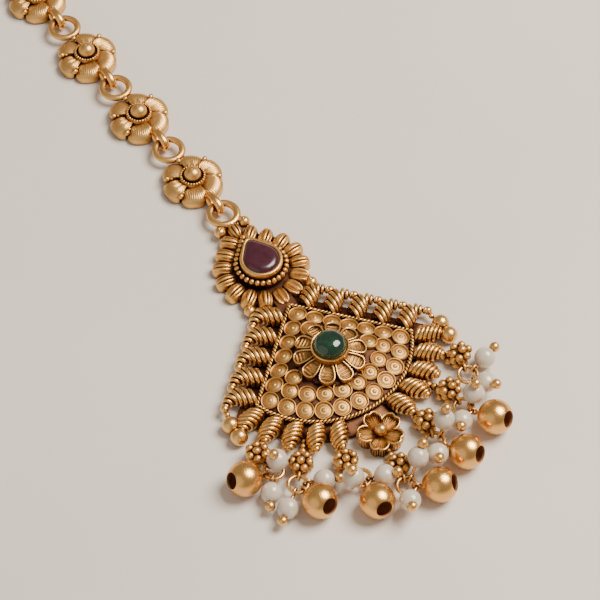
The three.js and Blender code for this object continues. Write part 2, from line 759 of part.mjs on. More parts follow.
// A plain open hook with a standing eye, lying down towards its bend
function hook() {
  const start = bailInRing + 2 * bailHalfLength - bailWire / 2;
  const bendY = start + hookShank;
  const at = (x, y, z) => new THREE.Vector3(x, y, z);
  const route = [at(0, start, chainRingZ), at(0, start + hookShank * 0.4, chainRingZ * 0.6)];
  const bendSteps = 6;
  for (let i = 0; i <= bendSteps; i += 1) {
    const angle = (Math.PI * i) / bendSteps;
    route.push(at(hookBend * (1 - Math.cos(angle)), bendY + hookBend * Math.sin(angle), hookWire));
  }
  route.push(at(2 * hookBend, bendY - hookPoint, hookWire));
  const corners = [];
  for (let i = 0; i < wireSides; i += 1) {
    const angle = (2 * Math.PI * i) / wireSides;
    corners.push(new THREE.Vector2(hookWire * Math.cos(angle), hookWire * Math.sin(angle)));
  }
  const geometry = new THREE.ExtrudeGeometry(new THREE.Shape(corners), {
    steps: hookSteps,
    extrudePath: new THREE.CatmullRomCurve3(route),
    bevelEnabled: false,
  });
  return bailBelow(0).add(solid(geometry));
}

// Stones

function emerald() {
  const facets = [
    { rise: 0, out: 0.78 },
    { rise: 0.28, out: 1 },
    { rise: 0.48, out: 0.97 },
    { rise: 0.8, out: 0.76 },
    { rise: 1, out: 0.42 },
  ];
  const profile = facets
    .map(({ rise, out }) => [out * emeraldRadius, emeraldBaseZ + rise * emeraldHeight]);
  const [bottom, top] = [emeraldBaseZ, emeraldBaseZ + emeraldHeight];
  return solid(turned([[0, bottom], ...profile, [0, top]], stoneSides));
}

function ruby() {
  const facets = [
    { rise: 0, out: 0.75 },
    { rise: 0.35, out: 1 },
    { rise: 0.6, out: 0.98 },
    { rise: 1, out: 0.72 },
  ];
  const rings = facets.map(({ rise, out }) => pearOutline(rubyRadius, rubyTip, stoneSides)
    .map(({ x, y }) => new THREE.Vector3(x * out, y * out, rubyBaseZ + rise * rubyHeight)));
  const tips = [rubyBaseZ, rubyBaseZ + rubyHeight].map((z) => new THREE.Vector3(0, 0, z));
  return solid(skinned(rings, tips[0], tips[1])).translate([0, crestY, 0]);
}

// Soldered metal of fan, crest, small flower and clusters: one casting with a flat back
function pendantFrame() {
  const pieces = [backPlate(), domedPlate(), rope(), ...discField()];
  for (const hand of [-1, 1]) {
    pieces.push(...sideCoils(hand));
    pieces.push(...arcCoilBearings.map((bearing) => arcCoil(bearing * hand)));
    pieces.push(...cornerBalls.map((row) => cornerBall(row, hand)));
  }
  pieces.push(scallopedTier(), flowerPetals(), emeraldSetting(), smallFlower(), crest(), neckWeb());
  pieces.push(...clusters.map(cluster));
  return joined(pieces);
}

// Assembly

const group = new THREE.Group();

function addPiece(name, manifold, finish) {
  const mesh = new THREE.Mesh(geometryOf(manifold), new THREE.MeshStandardMaterial(finish));
  mesh.name = name;
  group.add(mesh);
  return mesh;
}

addPiece('pendant_frame', pendantFrame(), gold);
addPiece('ruby', ruby(), rubyRed);
addPiece('emerald', emerald(), emeraldGreen);

clusters.forEach((row, i) => addPiece(`jump_ring_${i + 1}`, jumpRing(row), gold));

const made = { hollow_ball: 0, pearl: 0 };
for (const row of drops) {
  made[row.kind] += 1;
  const finish = row.kind === 'pearl' ? pearlWhite : ballGold;
  const suffix = row.kind === 'pearl' ? '_drop' : '';
  addPiece(`${row.kind}${suffix}_${made[row.kind]}`, drop(row), finish);
}

// Each link and the hook stand above the ring before them, along the leaning chain.
const chain = new THREE.Group();
chain.position.set(0, crestY + crestRingReach, 0);
chain.rotation.z = radians(chainLean);
group.add(chain);
for (let i = 0; i < linkCount; i += 1) {
  const link = addPiece(`flower_link_${i + 1}`, flowerLink(), gold);
  link.position.y = (i + 1) * linkPitch - linkRingReach;
  chain.add(link);
}
const endHook = addPiece('end_hook', hook(), gold);
endHook.position.y = linkCount * linkPitch;
chain.add(endHook);

export default group;
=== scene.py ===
"""A maang tikka lying on a pale surface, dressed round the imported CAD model.

Lengths are in millimetres, in the model's own frame: +Y runs up the chain, -Y to the fringe, +Z is
up and the flat back lies at z = 0. The lights, the floor and the camera's clipping are in metres.
A ring's two numbers are its radius and the radius of its wire.
"""
import math
import random

import bpy
import numpy as np
from mathutils import Matrix, Vector


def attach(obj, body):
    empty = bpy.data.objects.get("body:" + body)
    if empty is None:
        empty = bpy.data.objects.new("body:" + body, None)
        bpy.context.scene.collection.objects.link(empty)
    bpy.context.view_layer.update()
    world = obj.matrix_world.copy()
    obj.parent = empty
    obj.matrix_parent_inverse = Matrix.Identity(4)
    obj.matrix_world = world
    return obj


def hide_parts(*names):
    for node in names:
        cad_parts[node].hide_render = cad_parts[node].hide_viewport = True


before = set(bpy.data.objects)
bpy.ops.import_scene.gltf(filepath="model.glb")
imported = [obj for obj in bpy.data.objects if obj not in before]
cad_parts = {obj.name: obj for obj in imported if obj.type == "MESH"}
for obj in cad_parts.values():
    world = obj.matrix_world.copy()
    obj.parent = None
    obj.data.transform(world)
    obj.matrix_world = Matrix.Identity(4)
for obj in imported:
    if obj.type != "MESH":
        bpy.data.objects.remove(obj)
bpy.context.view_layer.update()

MM = 0.001
SEED = 7
SHARP_ANGLE = 50
SHADE_REACH = 0.9  # how near another surface has to be for painted shade, with tarnish, to darken a recess

# Camera, seen from the front left and above
CAMERA_TARGET = (2.58, 13.27, 0.0)
CAMERA_DISTANCE = 420.0
CAMERA_AZIMUTH = -30.35
CAMERA_ELEVATION = 54.23
CAMERA_LENS = 163.8

# Fan: a square corner at the top, closed below by an arc
APEX_Y = 12.1
ARC_RADIUS = 14.7
ARC_CENTRE_Y = 4.4
# The back reaches out under the coils, so that its dark gold paints the shade between them.
PLATE_MARGIN = 2.6
PLATE_TOP = 0.8
PLATE_EDGE = 0.15
WEB = (1.5, 9.6, 14.6, 1.2)  # half width, lower end, upper end and top
DOME_EDGE_Z = 1.6
DOME_CROWN_Z = 3.3
ROPE_Z = 1.9
ROPE_RADIUS = 0.5
ROPE_TURN = 1.2
STRAND = 0.19

# Discs in rows along the border of the fan: inset, steps along a side and steps along the arc
DISC_RADIUS = 1.45
DISC_ROWS = ((1.75, 6, 10), (4.3, 5, 7))

# A disc's profile, as shares of its radius, and heights
DISC_PROFILE = (
    (0, 0.52), (0.08, 0.5), (0.2, 0.36), (0.28, 0.3), (0.36, 0.34), (0.44, 0.3), (0.56, 0.18),
    (0.66, 0.15), (0.78, 0.1), (0.83, 0.24), (0.88, 0.38), (0.93, 0.4), (0.97, 0.36), (1.0, 0.26),
    (1.0, -0.4), (0, -0.4),
)

# Wound coils round the fan; a lean is how far each turn slants, as a share of its radius
COIL_RADIUS = 1.6
COIL_GAP = 0.1
SIDE_COILS = 5
SIDE_PITCH = 3.85
SIDE_START = 2.7
SIDE_LENGTH = 4.1
SIDE_TURN = 15
SIDE_TURNS = 7
SIDE_WIRE = 0.34
SIDE_LEAN = 0.55
ARC_BEARINGS = (18.3, 29.9, 41.5, 53.1, 64.7)
ARC_LENGTH = 3.8
ARC_TURNS = 6
ARC_WIRE = 0.33
ARC_LEAN = 0.5
CORNER_BALL = 1.35
CORNER_BALLS = ((70.4, 19.5), (63.8, 20.4))  # bearing and reach from the arc's centre

# Shares of a coil's length along it and sideways, and of its radius
SIDE_SECTIONS = ((-0.5, 0, 0.84), (-0.14, 0, 1.02), (0.24, 0.04, 0.9), (0.5, 0.24, 0.56),
                 (0.58, 0.44, 0.4))
ARC_SECTIONS = ((-0.46, 0, 0.8), (-0.12, 0, 1.0), (0.22, 0, 0.92), (0.5, 0, 0.54))

# Flower in the middle of the fan, with the green stone
FLOWER_PETALS = 10
FLOWER_RADIUS = 5.65
FLOWER_INNER = 2.75
FLOWER_TIP_Z = 4.4
FLOWER_RISE = 0.7
FLOWER_RIM = 0.15
PETAL_HALF_WIDTH = 1.12
PETAL_WALL = 1.5
PETAL_HOLLOW = 0.34
TIER_RADIUS = 5.5
TIER_TOP = 3.7
TIER_NOTCH = 0.5
TIER_FLUTES = 72
EMERALD_RADIUS = 2.58
EMERALD_BASE = 5.5
EMERALD_HEIGHT = 2.5
EMERALD_WALL = 2.93
EMERALD_FACETS = 8
LIP = 0.7  # height of a setting's edge above its stone's base

# Crest with the red stone
CREST_Y = 20.65
RUBY_RADIUS = 2.85
RUBY_TIP = 4.63
RUBY_BASE = 3.3
RUBY_HEIGHT = 1.2
RUBY_WALL = 0.42
COLLAR_MARGIN = 1.0
COLLAR_TOP = 2.7
RUBY_BEADS = 30
PEAR_STEPS = 160
PEAR_WEAR = 24  # rounds of smoothing that blunt the point
CREST_PETALS = 16
HOLLOW_PETALS = (6, 7, 8)  # counted from the point
CREST_RADIUS = 6.1
CREST_TIP = 8.6
CREST_LENGTH = 3.1
CREST_HEIGHT = 2.4
CREST_HALF_WIDTH = 1.26
CREST_PLATE = (0.5, 1.1)  # margin outside the line of the petals' middles, and top
CREST_BALL = 0.95
CREST_BALLS = ((2.15, 9.2, 1.4), (5.45, -5.95, 0.95))  # aside, up the crest, and height
CREST_RING_REACH = 11.9
CREST_RING = (2.15, 0.6)
CHAIN_Z = 1.75

# Small flower on the arc
SMALL_FLOWER_Y = -14.73
SMALL_PETALS = 5
SMALL_PLEATS = 50
SMALL_FLUTES = 60
SMALL_FLOWER_RADIUS = 3.7
SMALL_FLOWER_TOP = 2.7
SMALL_FLOWER_RIM = 0.16
SMALL_FLOWER_BALL = 0.95

# Clusters of granules: bearing and reach from the arc's centre, and the way the ring hangs
CLUSTERS = (
    (-53.3, 21.6, 6), (-35.9, 21.6, -37), (-18.6, 21.6, 6), (-1.4, 25.0, -12),
    (18.6, 21.6, -10), (35.9, 21.6, 7), (53.3, 21.6, -8),
)
CLUSTER_RADIUS = 1.95
CLUSTER_CORE = (1.15, 1.2, 1.6)  # radius, lengthening upwards, and height
GRANULE = 0.67
NECK_GRANULES = ((2.1, 0.62), (3.0, 0.55), (3.8, 0.5))  # distance back from the middle, and radius
NECK_Z = 1.1
EYE_REACH = 2.45
EYE = (0.68, 0.2)
JUMP_RING = (1.45, 0.31)
JUMP_RING_Z = 1.6

# Drops: ring, kind, bearing, degrees above the surface (None lies on it) and stem
BALL = 2.66
BALL_WALL = 0.35
BALL_HOLE = 1.3
HOLE_TILT = 7
PEARL = 1.66
PIN = 0.22
END_BEAD = 0.8
END_BEAD_PROUD = 0.61
DROPS = (
    (1, "ball", -94, None, 0.1), (1, "pearl", 100, 108, 0.1), (1, "pearl", -35, None, 0.1),
    (2, "ball", 12, None, 0.1), (2, "pearl", -50, None, 0.6), (2, "pearl", 70, None, 0.1),
    (3, "ball", -4, None, 0.5), (3, "pearl", -75, 82, 0.1), (3, "pearl", 53, 36, 0.1),
    (4, "ball", 54, None, 0.2), (4, "pearl", -24, 36, 0.1), (4, "pearl", 122, 53, 1.2),
    (5, "ball", 31, None, 0.6), (5, "pearl", -26, 42, 0.1), (5, "pearl", 112, 80, 1.2),
    (6, "ball", 31, None, 0.5), (6, "pearl", -38, 36, 0.1), (6, "pearl", 92, 85, 0.1),
    (7, "pearl", 107, 10, 0.1), (7, "pearl", 18, 35, 0.1),
)

# Chain
LINKS = 4
LINK_PITCH = 15.7
CHAIN_LEAN = 4.4
LINK_RADIUS = 5.0
LINK_PETALS = 6
LINK_TOP = 2.5
LINK_JOINT_BEADS = ((4.15, 0.42, 1.3), (3.4, 0.24, 1.2))  # reach, radius and lengthening
LINK_BALL = 1.38
LINK_BALL_Z = 2.6
HUB_BEADS = 26
HUB_BEAD = (1.85, 0.25, 2.42)  # reach, radius and height
LINK_RING_REACH = 6.95
LINK_RING = (2.15, 0.55)
BAIL_HALF = (1.775, 1.25)  # half its length and half its height
BAIL_WIRE = 0.48
BAIL_IN_RING = 0.7
HOOK_WIRE = 0.6
HOOK_SHANK = 11
HOOK_BEND = 2.4
HOOK_POINT = 5


# Camera and light

def look_from(azimuth, elevation):
    """The direction from the object to a viewer."""
    a, e = math.radians(azimuth), math.radians(elevation)
    return Vector((math.sin(a) * math.cos(e), -math.cos(a) * math.cos(e), math.sin(e)))


def add_camera():
    data = bpy.data.cameras.new("camera")
    data.lens = CAMERA_LENS
    data.sensor_width = 36
    data.clip_start = 0.01
    data.clip_end = 10
    camera = bpy.data.objects.new("camera", data)
    back = look_from(CAMERA_AZIMUTH, CAMERA_ELEVATION)
    camera.location = (Vector(CAMERA_TARGET) + back * CAMERA_DISTANCE) * MM
    camera.rotation_mode = "QUATERNION"
    camera.rotation_quaternion = (-back).to_track_quat("-Z", "Y")
    bpy.context.scene.collection.objects.link(camera)
    bpy.context.scene.camera = camera


def add_light(name, azimuth, elevation, distance, size, power, colour):
    data = bpy.data.lights.new(name, "AREA")
    data.shape = "DISK"
    data.size = size
    data.energy = power
    data.color = colour
    light = bpy.data.objects.new(name, data)
    towards = look_from(azimuth, elevation)
    light.location = towards * distance
    light.rotation_mode = "QUATERNION"
    light.rotation_quaternion = (-towards).to_track_quat("-Z", "Y")
    bpy.context.scene.collection.objects.link(light)


def add_world(colour, strength):
    world = bpy.data.worlds.new("studio")
    world.use_nodes = True
    background = world.node_tree.nodes["Background"]
    background.inputs["Color"].default_value = (*colour, 1)
    background.inputs["Strength"].default_value = strength
    bpy.context.scene.world = world


# Node materials

class Nodes:
    """Short calls for building a material's nodes."""

    def __init__(self, name):
        self.material = bpy.data.materials.new(name)
        self.material.use_nodes = True
        self.tree = self.material.node_tree
        self.shader = self.tree.nodes["Principled BSDF"]
        self.place = self.add("ShaderNodeTexCoord").outputs["Object"]

    def add(self, kind, inputs=None, **settings):
        node = self.tree.nodes.new(kind)
        for key, value in settings.items():
            setattr(node, key, value)
        for key, value in (inputs or {}).items():
            self.set(node, key, value)
        return node

    def set(self, node, key, value):
        if isinstance(value, bpy.types.NodeSocket):
            self.tree.links.new(value, node.inputs[key])
        else:
            node.inputs[key].default_value = value

    def shade(self, **inputs):
        for key, value in inputs.items():
            self.set(self.shader, key.replace("_", " "), value)

    def noise(self, size, detail=3):
        """Noise whose patches are about size millimetres across."""
        inputs = {"Vector": self.place, "Scale": 1 / (size * MM), "Detail": detail, "Roughness": 0.55}
        return self.add("ShaderNodeTexNoise", inputs).outputs["Fac"]

    def ramp(self, value, stops):
        node = self.add("ShaderNodeValToRGB", {"Fac": value})
        elements = node.color_ramp.elements
        while len(elements) < len(stops):
            elements.new(0.5)
        for element, (position, colour) in zip(elements, stops):
            element.position = position
            element.color = (*colour, 1)
        return node.outputs["Color"]

    def span(self, value, low, high, to_low, to_high):
        inputs = {"Value": value, "From Min": low, "From Max": high, "To Min": to_low,
                  "To Max": to_high}
        return self.add("ShaderNodeMapRange", inputs).outputs["Result"]

    def maths(self, operation, first, second):
        node = self.add("ShaderNodeMath", operation=operation)
        self.set(node, 0, first)
        self.set(node, 1, second)
        return node.outputs["Value"]

    def mix(self, share, first, second):
        node = self.add("ShaderNodeMix", data_type="RGBA")
        self.set(node, "Factor", share)
        self.set(node, 6, first if isinstance(first, bpy.types.NodeSocket) else (*first, 1))
        self.set(node, 7, second if isinstance(second, bpy.types.NodeSocket) else (*second, 1))
        return node.outputs[2]

    def open_share(self, reach):
        """How open a place is: 0 deep in a recess and 1 on a free surface."""
        node = self.add("ShaderNodeAmbientOcclusion", samples=8)
        node.inputs["Distance"].default_value = reach * MM
        return node.outputs["AO"]

    def bump(self, height, depth):
        inputs = {"Height": height, "Distance": depth * MM}
        self.set(self.shader, "Normal", self.add("ShaderNodeBump", inputs).outputs["Normal"])


def gold_material(name, bright, shade, shade_and_tarnish, rough, grain, hold=(0.35, 0.8)):
    """Metal darkened where it is sheltered, by painted shade together with oxide, and bright where it
    is open and rubbed.

    The roughness is that of bright metal. The two values of hold say how open a place is where the
    painted shade and tarnish start to fade, and where it is bright.
    """
    m = Nodes(name)
    patches = m.noise(1.6)
    speckle = m.noise(0.12, detail=2)
    # Ambient occlusion paints shade into recesses and between parts; the noise patches add uneven wear.
    light_and_wear = m.maths("ADD", m.open_share(SHADE_REACH), m.span(patches, 0.3, 0.7, -0.14, 0.1))
    middle = (hold[0] + hold[1]) / 2
    colour = m.ramp(light_and_wear, ((hold[0], shade_and_tarnish), (middle, shade), (hold[1], bright)))
    colour = m.mix(m.span(speckle, 0.45, 0.75, 0, grain), colour, shade_and_tarnish)
    roughness = m.span(light_and_wear, hold[0], hold[1], 0.65, rough)
    roughness = m.maths("ADD", roughness, m.span(speckle, 0.3, 0.7, -0.05, 0.05))
    m.shade(Base_Color=colour, Metallic=1.0, Roughness=roughness)
    m.bump(speckle, 0.02)
    return m.material


def cast_gold():
    return gold_material("cast_gold", (0.85, 0.49, 0.16), (0.52, 0.235, 0.055),
                         (0.075, 0.022, 0.006), 0.36, 0.35, hold=(0.4, 0.86))


def wire_gold():
    return gold_material("wire_gold", (0.90, 0.53, 0.18), (0.60, 0.29, 0.075),
                         (0.09, 0.028, 0.008), 0.28, 0.2)


def disc_gold():
    return gold_material("disc_gold", (0.70, 0.40, 0.13), (0.50, 0.24, 0.062),
                         (0.075, 0.022, 0.006), 0.48, 0.3, hold=(0.4, 0.86))


def satin_gold():
    return gold_material("satin_gold", (0.90, 0.49, 0.15), (0.72, 0.34, 0.085),
                         (0.26, 0.085, 0.018), 0.25, 0.22, hold=(0.25, 0.7))


# A very dark gold that paints shade, with some tarnish, on the parts that lie sheltered between others.
def shade_and_tarnish_gold():
    return gold_material("shade_and_tarnish_gold", (0.16, 0.07, 0.035), (0.085, 0.034, 0.022),
                         (0.03, 0.01, 0.007), 0.5, 0.4)


def pleated_gold():
    return gold_material("pleated_gold", (0.62, 0.33, 0.10), (0.32, 0.14, 0.04),
                         (0.04, 0.014, 0.006), 0.42, 0.4, hold=(0.5, 0.92))


def painted_shade_inside():
    # A matt brown, in place of gold, that paints the shade inside the hollow balls.
    m = Nodes("painted_shade_inside")
    colour = m.ramp(m.noise(0.8), ((0.35, (0.40, 0.18, 0.08)), (0.7, (0.52, 0.25, 0.11))))
    m.shade(Base_Color=colour, Roughness=0.8, Specular_IOR_Level=0.1)
    m.bump(m.noise(0.2), 0.03)
    return m.material


def pearl():
    m = Nodes("pearl")
    cloud = m.noise(1.5)
    colour = m.ramp(cloud, ((0.3, (0.58, 0.47, 0.34)), (0.5, (0.66, 0.56, 0.43)),
                            (0.7, (0.62, 0.54, 0.46))))
    m.shade(Base_Color=colour, Roughness=m.span(m.noise(0.5), 0.3, 0.7, 0.26, 0.36))
    m.shade(Specular_IOR_Level=0.9, Coat_Weight=0.8, Coat_Roughness=0.16)
    m.shade(Subsurface_Weight=0.15, Subsurface_Scale=0.4 * MM, Subsurface_Radius=(1.0, 0.8, 0.6))
    m.bump(m.noise(0.5, detail=2), 0.03)
    return m.material


def stone(name, stops, roughness, coat):
    m = Nodes(name)
    m.shade(Base_Color=m.ramp(m.noise(1.7, detail=4), stops), IOR=1.6, Coat_Weight=coat)
    m.shade(Roughness=m.span(m.noise(0.6), 0.3, 0.7, roughness, roughness + 0.08))
    m.shade(Coat_Roughness=0.03)
    return m.material


def ruby_red():
    stops = ((0.3, (0.028, 0.002, 0.007)), (0.5, (0.045, 0.004, 0.012)), (0.75, (0.06, 0.008, 0.02)))
    return stone("ruby_red", stops, 0.2, 0.05)


def emerald_green():
    stops = ((0.35, (0.001, 0.014, 0.005)), (0.55, (0.003, 0.028, 0.010)), (0.7, (0.012, 0.06, 0.024)))
    return stone("emerald_green", stops, 0.09, 0.3)


def floor_cream():
    m = Nodes("floor_cream")
    cloud = m.noise(60, detail=2)
    m.shade(Base_Color=m.ramp(cloud, ((0.3, (0.75, 0.675, 0.59)), (0.7, (0.80, 0.73, 0.64)))))
    m.shade(Roughness=0.55)
    return m.material


# Shapes in millimetres

class Form:
    """The points and faces of one piece, with a material number for each face."""

    def __init__(self):
        self.points = []
        self.faces = []
        self.finishes = []
        self.count = 0

    def add(self, points, faces, finish=0):
        points = np.asarray(points, float).reshape(-1, 3)
        self.points.append(points)
        self.faces.extend(tuple(i + self.count for i in face) for face in faces)
        self.finishes.extend([finish] * len(faces))
        self.count += len(points)


def grid_faces(rows, columns, wrap_rows=False, wrap_columns=True):
    faces = []
    for i in range(rows if wrap_rows else rows - 1):
        for j in range(columns if wrap_columns else columns - 1):
            above, beside = (i + 1) % rows, (j + 1) % columns
            faces.append((i * columns + j, i * columns + beside, above * columns + beside,
                          above * columns + j))
    return faces


def loft(form, rings, finish=0, start=None, end=None):
    """A skin over closed rings of points, shut at each end by a point or a flat face."""
    rings = np.asarray(rings, float)
    rows, columns = rings.shape[:2]
    faces = grid_faces(rows, columns)
    points = [rings.reshape(-1, 3)]
    for tip, row, flip in ((start, 0, True), (end, rows - 1, False)):
        edge = [row * columns + j for j in range(columns)]
        if tip is None:
            faces.append(tuple(reversed(edge)) if flip else tuple(edge))
            continue
        centre = sum(len(part) for part in points)
        points.append(np.asarray(tip, float).reshape(1, 3))
        faces.extend((edge[j], edge[(j + 1) % columns], centre) for j in range(columns))
    form.add(np.concatenate(points), faces, finish)


def lathe(form, profile, sides, place=None, finish=0):
    """A turned body about Z from rows of radius and height that start and end on the axis."""
    angles = np.linspace(0, 2 * math.pi, sides, endpoint=False)
    circle = np.stack([np.cos(angles), np.sin(angles)], axis=1)
    rings = [np.column_stack([circle * r, np.full(sides, z)]) for r, z in profile[1:-1]]
    tips = [np.array([[0, 0, profile[i][1]]], float) for i in (0, -1)]
    if place is not None:
        rings = [place(ring) for ring in rings]
        tips = [place(tip) for tip in tips]
    loft(form, rings, finish, tips[0], tips[1])


def ball(form, centre, radius, sides=16, rows=10):
    angles = np.linspace(0, math.pi, rows + 1)
    profile = [(radius * math.sin(a), -radius * math.cos(a)) for a in angles]
    lathe(form, profile, sides, lambda p: p + np.asarray(centre))


def unit(vectors):
    return vectors / np.linalg.norm(vectors, axis=-1, keepdims=True)


def tube(form, path, radius, sides=10, closed=False, normal=(0, 0, 1), finish=0, squash=1.0):
    """A round wire along a path that keeps clear of the direction called normal."""
    path = np.asarray(path, float)
    if closed:
        along = np.roll(path, -1, axis=0) - np.roll(path, 1, axis=0)
    else:
        along = np.gradient(path, axis=0)
    along = unit(along)
    side = unit(np.cross(along, np.asarray(normal, float)))
    over = np.cross(side, along) * squash
    radius = np.broadcast_to(radius, len(path))
    angles = np.linspace(0, 2 * math.pi, sides, endpoint=False)
    rings = [centre + r * (np.outer(np.cos(angles), s) + np.outer(np.sin(angles), o))
             for centre, r, s, o in zip(path, radius, side, over)]
    if closed:
        form.add(np.concatenate(rings), grid_faces(len(rings), sides, wrap_rows=True), finish)
    else:
        loft(form, rings, finish, path[0], path[-1])


def circle_path(centre, across, up, steps):
    angles = np.linspace(0, 2 * math.pi, steps, endpoint=False)
    return (np.asarray(centre, float) + np.outer(np.cos(angles), across)
            + np.outer(np.sin(angles), up))


def flat_ring(form, centre, size, steps=48, squash=1.0):
    radius, wire = size
    path = circle_path(centre, (radius, 0, 0), (0, radius, 0), steps)
    tube(form, path, wire, 14, True, squash=squash)


def standing_ring(form, centre, size, bearing):
    radius, wire = size
    x, y = heading(bearing)
    path = circle_path(centre, (radius * x, radius * y, 0), (0, 0, radius), 28)
    tube(form, path, wire, 10, True, normal=(-y, x, 0))


def smooth_path(points, steps):
    """A Catmull-Rom curve through points of any size."""
    points = np.asarray(points, float)
    padded = np.concatenate([[2 * points[0] - points[1]], points, [2 * points[-1] - points[-2]]])
    t = np.linspace(0, len(points) - 1, steps)
    index = np.minimum(t.astype(int), len(points) - 2)
    t = (t - index)[:, None]
    a, b, c, d = (padded[index + k] for k in range(4))
    return 0.5 * (2 * b + (c - a) * t + (2 * a - 5 * b + 4 * c - d) * t ** 2
                  + (3 * b - a - 3 * c + d) * t ** 3)


def even_path(points, steps, closed=False):
    """Points evenly spaced along a polyline."""
    points = np.asarray(points, float)
    if closed:
        points = np.concatenate([points, points[:1]])
    lengths = np.linalg.norm(np.diff(points, axis=0), axis=1)
    reach = np.concatenate([[0], np.cumsum(lengths)])
    at = np.linspace(0, reach[-1], steps, endpoint=not closed)
    return np.stack([np.interp(at, reach, points[:, k]) for k in range(points.shape[1])], axis=1)


def heading(bearing):
    """The unit vector of a bearing, in degrees from -Y towards +X."""
    return np.array([math.sin(math.radians(bearing)), -math.cos(math.radians(bearing))])


def raised(points, z):
    """Flat points lifted to a height."""
    points = np.asarray(points, float)
    return np.column_stack([points, np.broadcast_to(z, len(points))])


def fan_outline(inset, side_steps, arc_steps):
    """The fan's outline, moved inwards from the rope: right side, arc, left side."""
    top = APEX_Y - inset * math.sqrt(2)
    radius = ARC_RADIUS - inset
    offset = top - ARC_CENTRE_Y
    x = (offset + math.sqrt(2 * radius ** 2 - offset ** 2)) / 2
    apex, corner = np.array([0, top]), np.array([x, top - x])
    right = [apex + (corner - apex) * i / side_steps for i in range(side_steps)]
    widest = math.atan2(corner[0], ARC_CENTRE_Y - corner[1])
    angles = np.linspace(widest, -widest, arc_steps + 1)
    arc = np.column_stack([radius * np.sin(angles), ARC_CENTRE_Y - radius * np.cos(angles)])
    left = np.reshape(right[:0:-1], (-1, 2)) * (-1, 1)
    return np.concatenate([right, arc, left])


def fan_share(x, y):
    reach = math.hypot(x, y)
    if reach < 1e-9:
        return 0.0
    across, up = abs(x) / reach, y / reach
    to_side = APEX_Y / (across + up) if across + up > 1e-9 else math.inf
    rise = ARC_CENTRE_Y * up
    to_arc = rise + math.sqrt(rise ** 2 + ARC_RADIUS ** 2 - ARC_CENTRE_Y ** 2)
    return reach / min(to_side, to_arc)


def dome_z(x, y):
    return DOME_EDGE_Z + (DOME_CROWN_Z - DOME_EDGE_Z) * (1 - fan_share(x, y) ** 2)


def pear_outline(radius, tip, count):
    """A pear with its point towards +Y, clockwise from the point."""
    touch = math.acos(radius / tip)
    outline = []
    for i in range(count):
        angle = 2 * math.pi * i / count
        from_tip = min(angle, 2 * math.pi - angle)
        reach = radius / math.cos(touch - from_tip) if from_tip < touch else radius
        outline.append((reach * math.sin(angle), reach * math.cos(angle)))
    return np.array(outline)


# Fan

def back_plate(form):
    """The flat back, with rounded edges, and the web between fan and crest. Its dark gold paints
    the shade seen between the coils.
    """
    rows = ((PLATE_EDGE, 0.0), (0.0, PLATE_EDGE), (0.0, PLATE_TOP - PLATE_EDGE),
            (PLATE_EDGE, PLATE_TOP))
    loft(form, [raised(fan_outline(trim - PLATE_MARGIN, 8, 40), z) for trim, z in rows])
    half, low, high, top = WEB
    corners = np.array([(-half, low), (half, low), (half, high), (-half, high)])
    loft(form, [raised(corners, z) for z in (0.0, top)])


def dome(form):
    """The low dome under the discs."""
    edge = fan_outline(0, 40, 60)
    rings = [raised(edge, PLATE_TOP / 2)]
    for share in np.linspace(1, 0.05, 24):
        z = DOME_EDGE_Z + (DOME_CROWN_Z - DOME_EDGE_Z) * (1 - share ** 2)
        rings.append(raised(edge * share, z))
    loft(form, rings, start=(0, 0, PLATE_TOP / 2), end=(0, 0, DOME_CROWN_Z))


def disc_places():
    for inset, side_steps, arc_steps in DISC_ROWS:
        for x, y in fan_outline(inset, side_steps, arc_steps):
            if math.hypot(x, y) > FLOWER_RADIUS - 0.4 * DISC_RADIUS:
                yield x, y


def disc(form, x, y, draw):
    """A disc with a thin raised rim, a ring inside it and a pointed middle."""
    step = 0.05
    slope = Vector(((dome_z(x + step, y) - dome_z(x - step, y)) / (2 * step),
                    (dome_z(x, y + step) - dome_z(x, y - step)) / (2 * step)))
    tilt = Vector((-slope.x + draw.uniform(-0.05, 0.05), -slope.y + draw.uniform(-0.05, 0.05), 1))
    turn = np.array(Vector((0, 0, 1)).rotation_difference(tilt).to_matrix())
    size = DISC_RADIUS * draw.uniform(0.96, 1.03)
    wave, phase = draw.uniform(0.0, 0.02), draw.uniform(0, 6)

    def place(points):
        points = points.copy()
        angle = np.arctan2(points[:, 1], points[:, 0])
        points[:, :2] *= (size * (1 + wave * np.sin(2 * angle + phase)))[:, None]
        return points @ turn.T + (x, y, dome_z(x, y))

    lathe(form, DISC_PROFILE, 30, place)


def disc_field(form):
    draw = random.Random(SEED)
    for x, y in disc_places():
        disc(form, x, y, draw)


def rope(form):
    """Two strands wound round each other along the border."""
    path = even_path(fan_outline(0, 1, 90), 900, closed=True)
    along = unit(np.roll(path, -1, axis=0) - np.roll(path, 1, axis=0))
    side = np.column_stack([along[:, 1], -along[:, 0]])
    length = np.linalg.norm(np.diff(path, axis=0), axis=1).sum()
    turns = round(length / ROPE_TURN)
    angle = np.linspace(0, 2 * math.pi * turns, len(path), endpoint=False)
    swing = STRAND * 0.95
    for phase in (0, math.pi):
        out = swing * np.cos(angle + phase)
        strand = raised(path + side * out[:, None], ROPE_Z + swing * np.sin(angle + phase))
        tube(form, strand, STRAND, 8, closed=True)


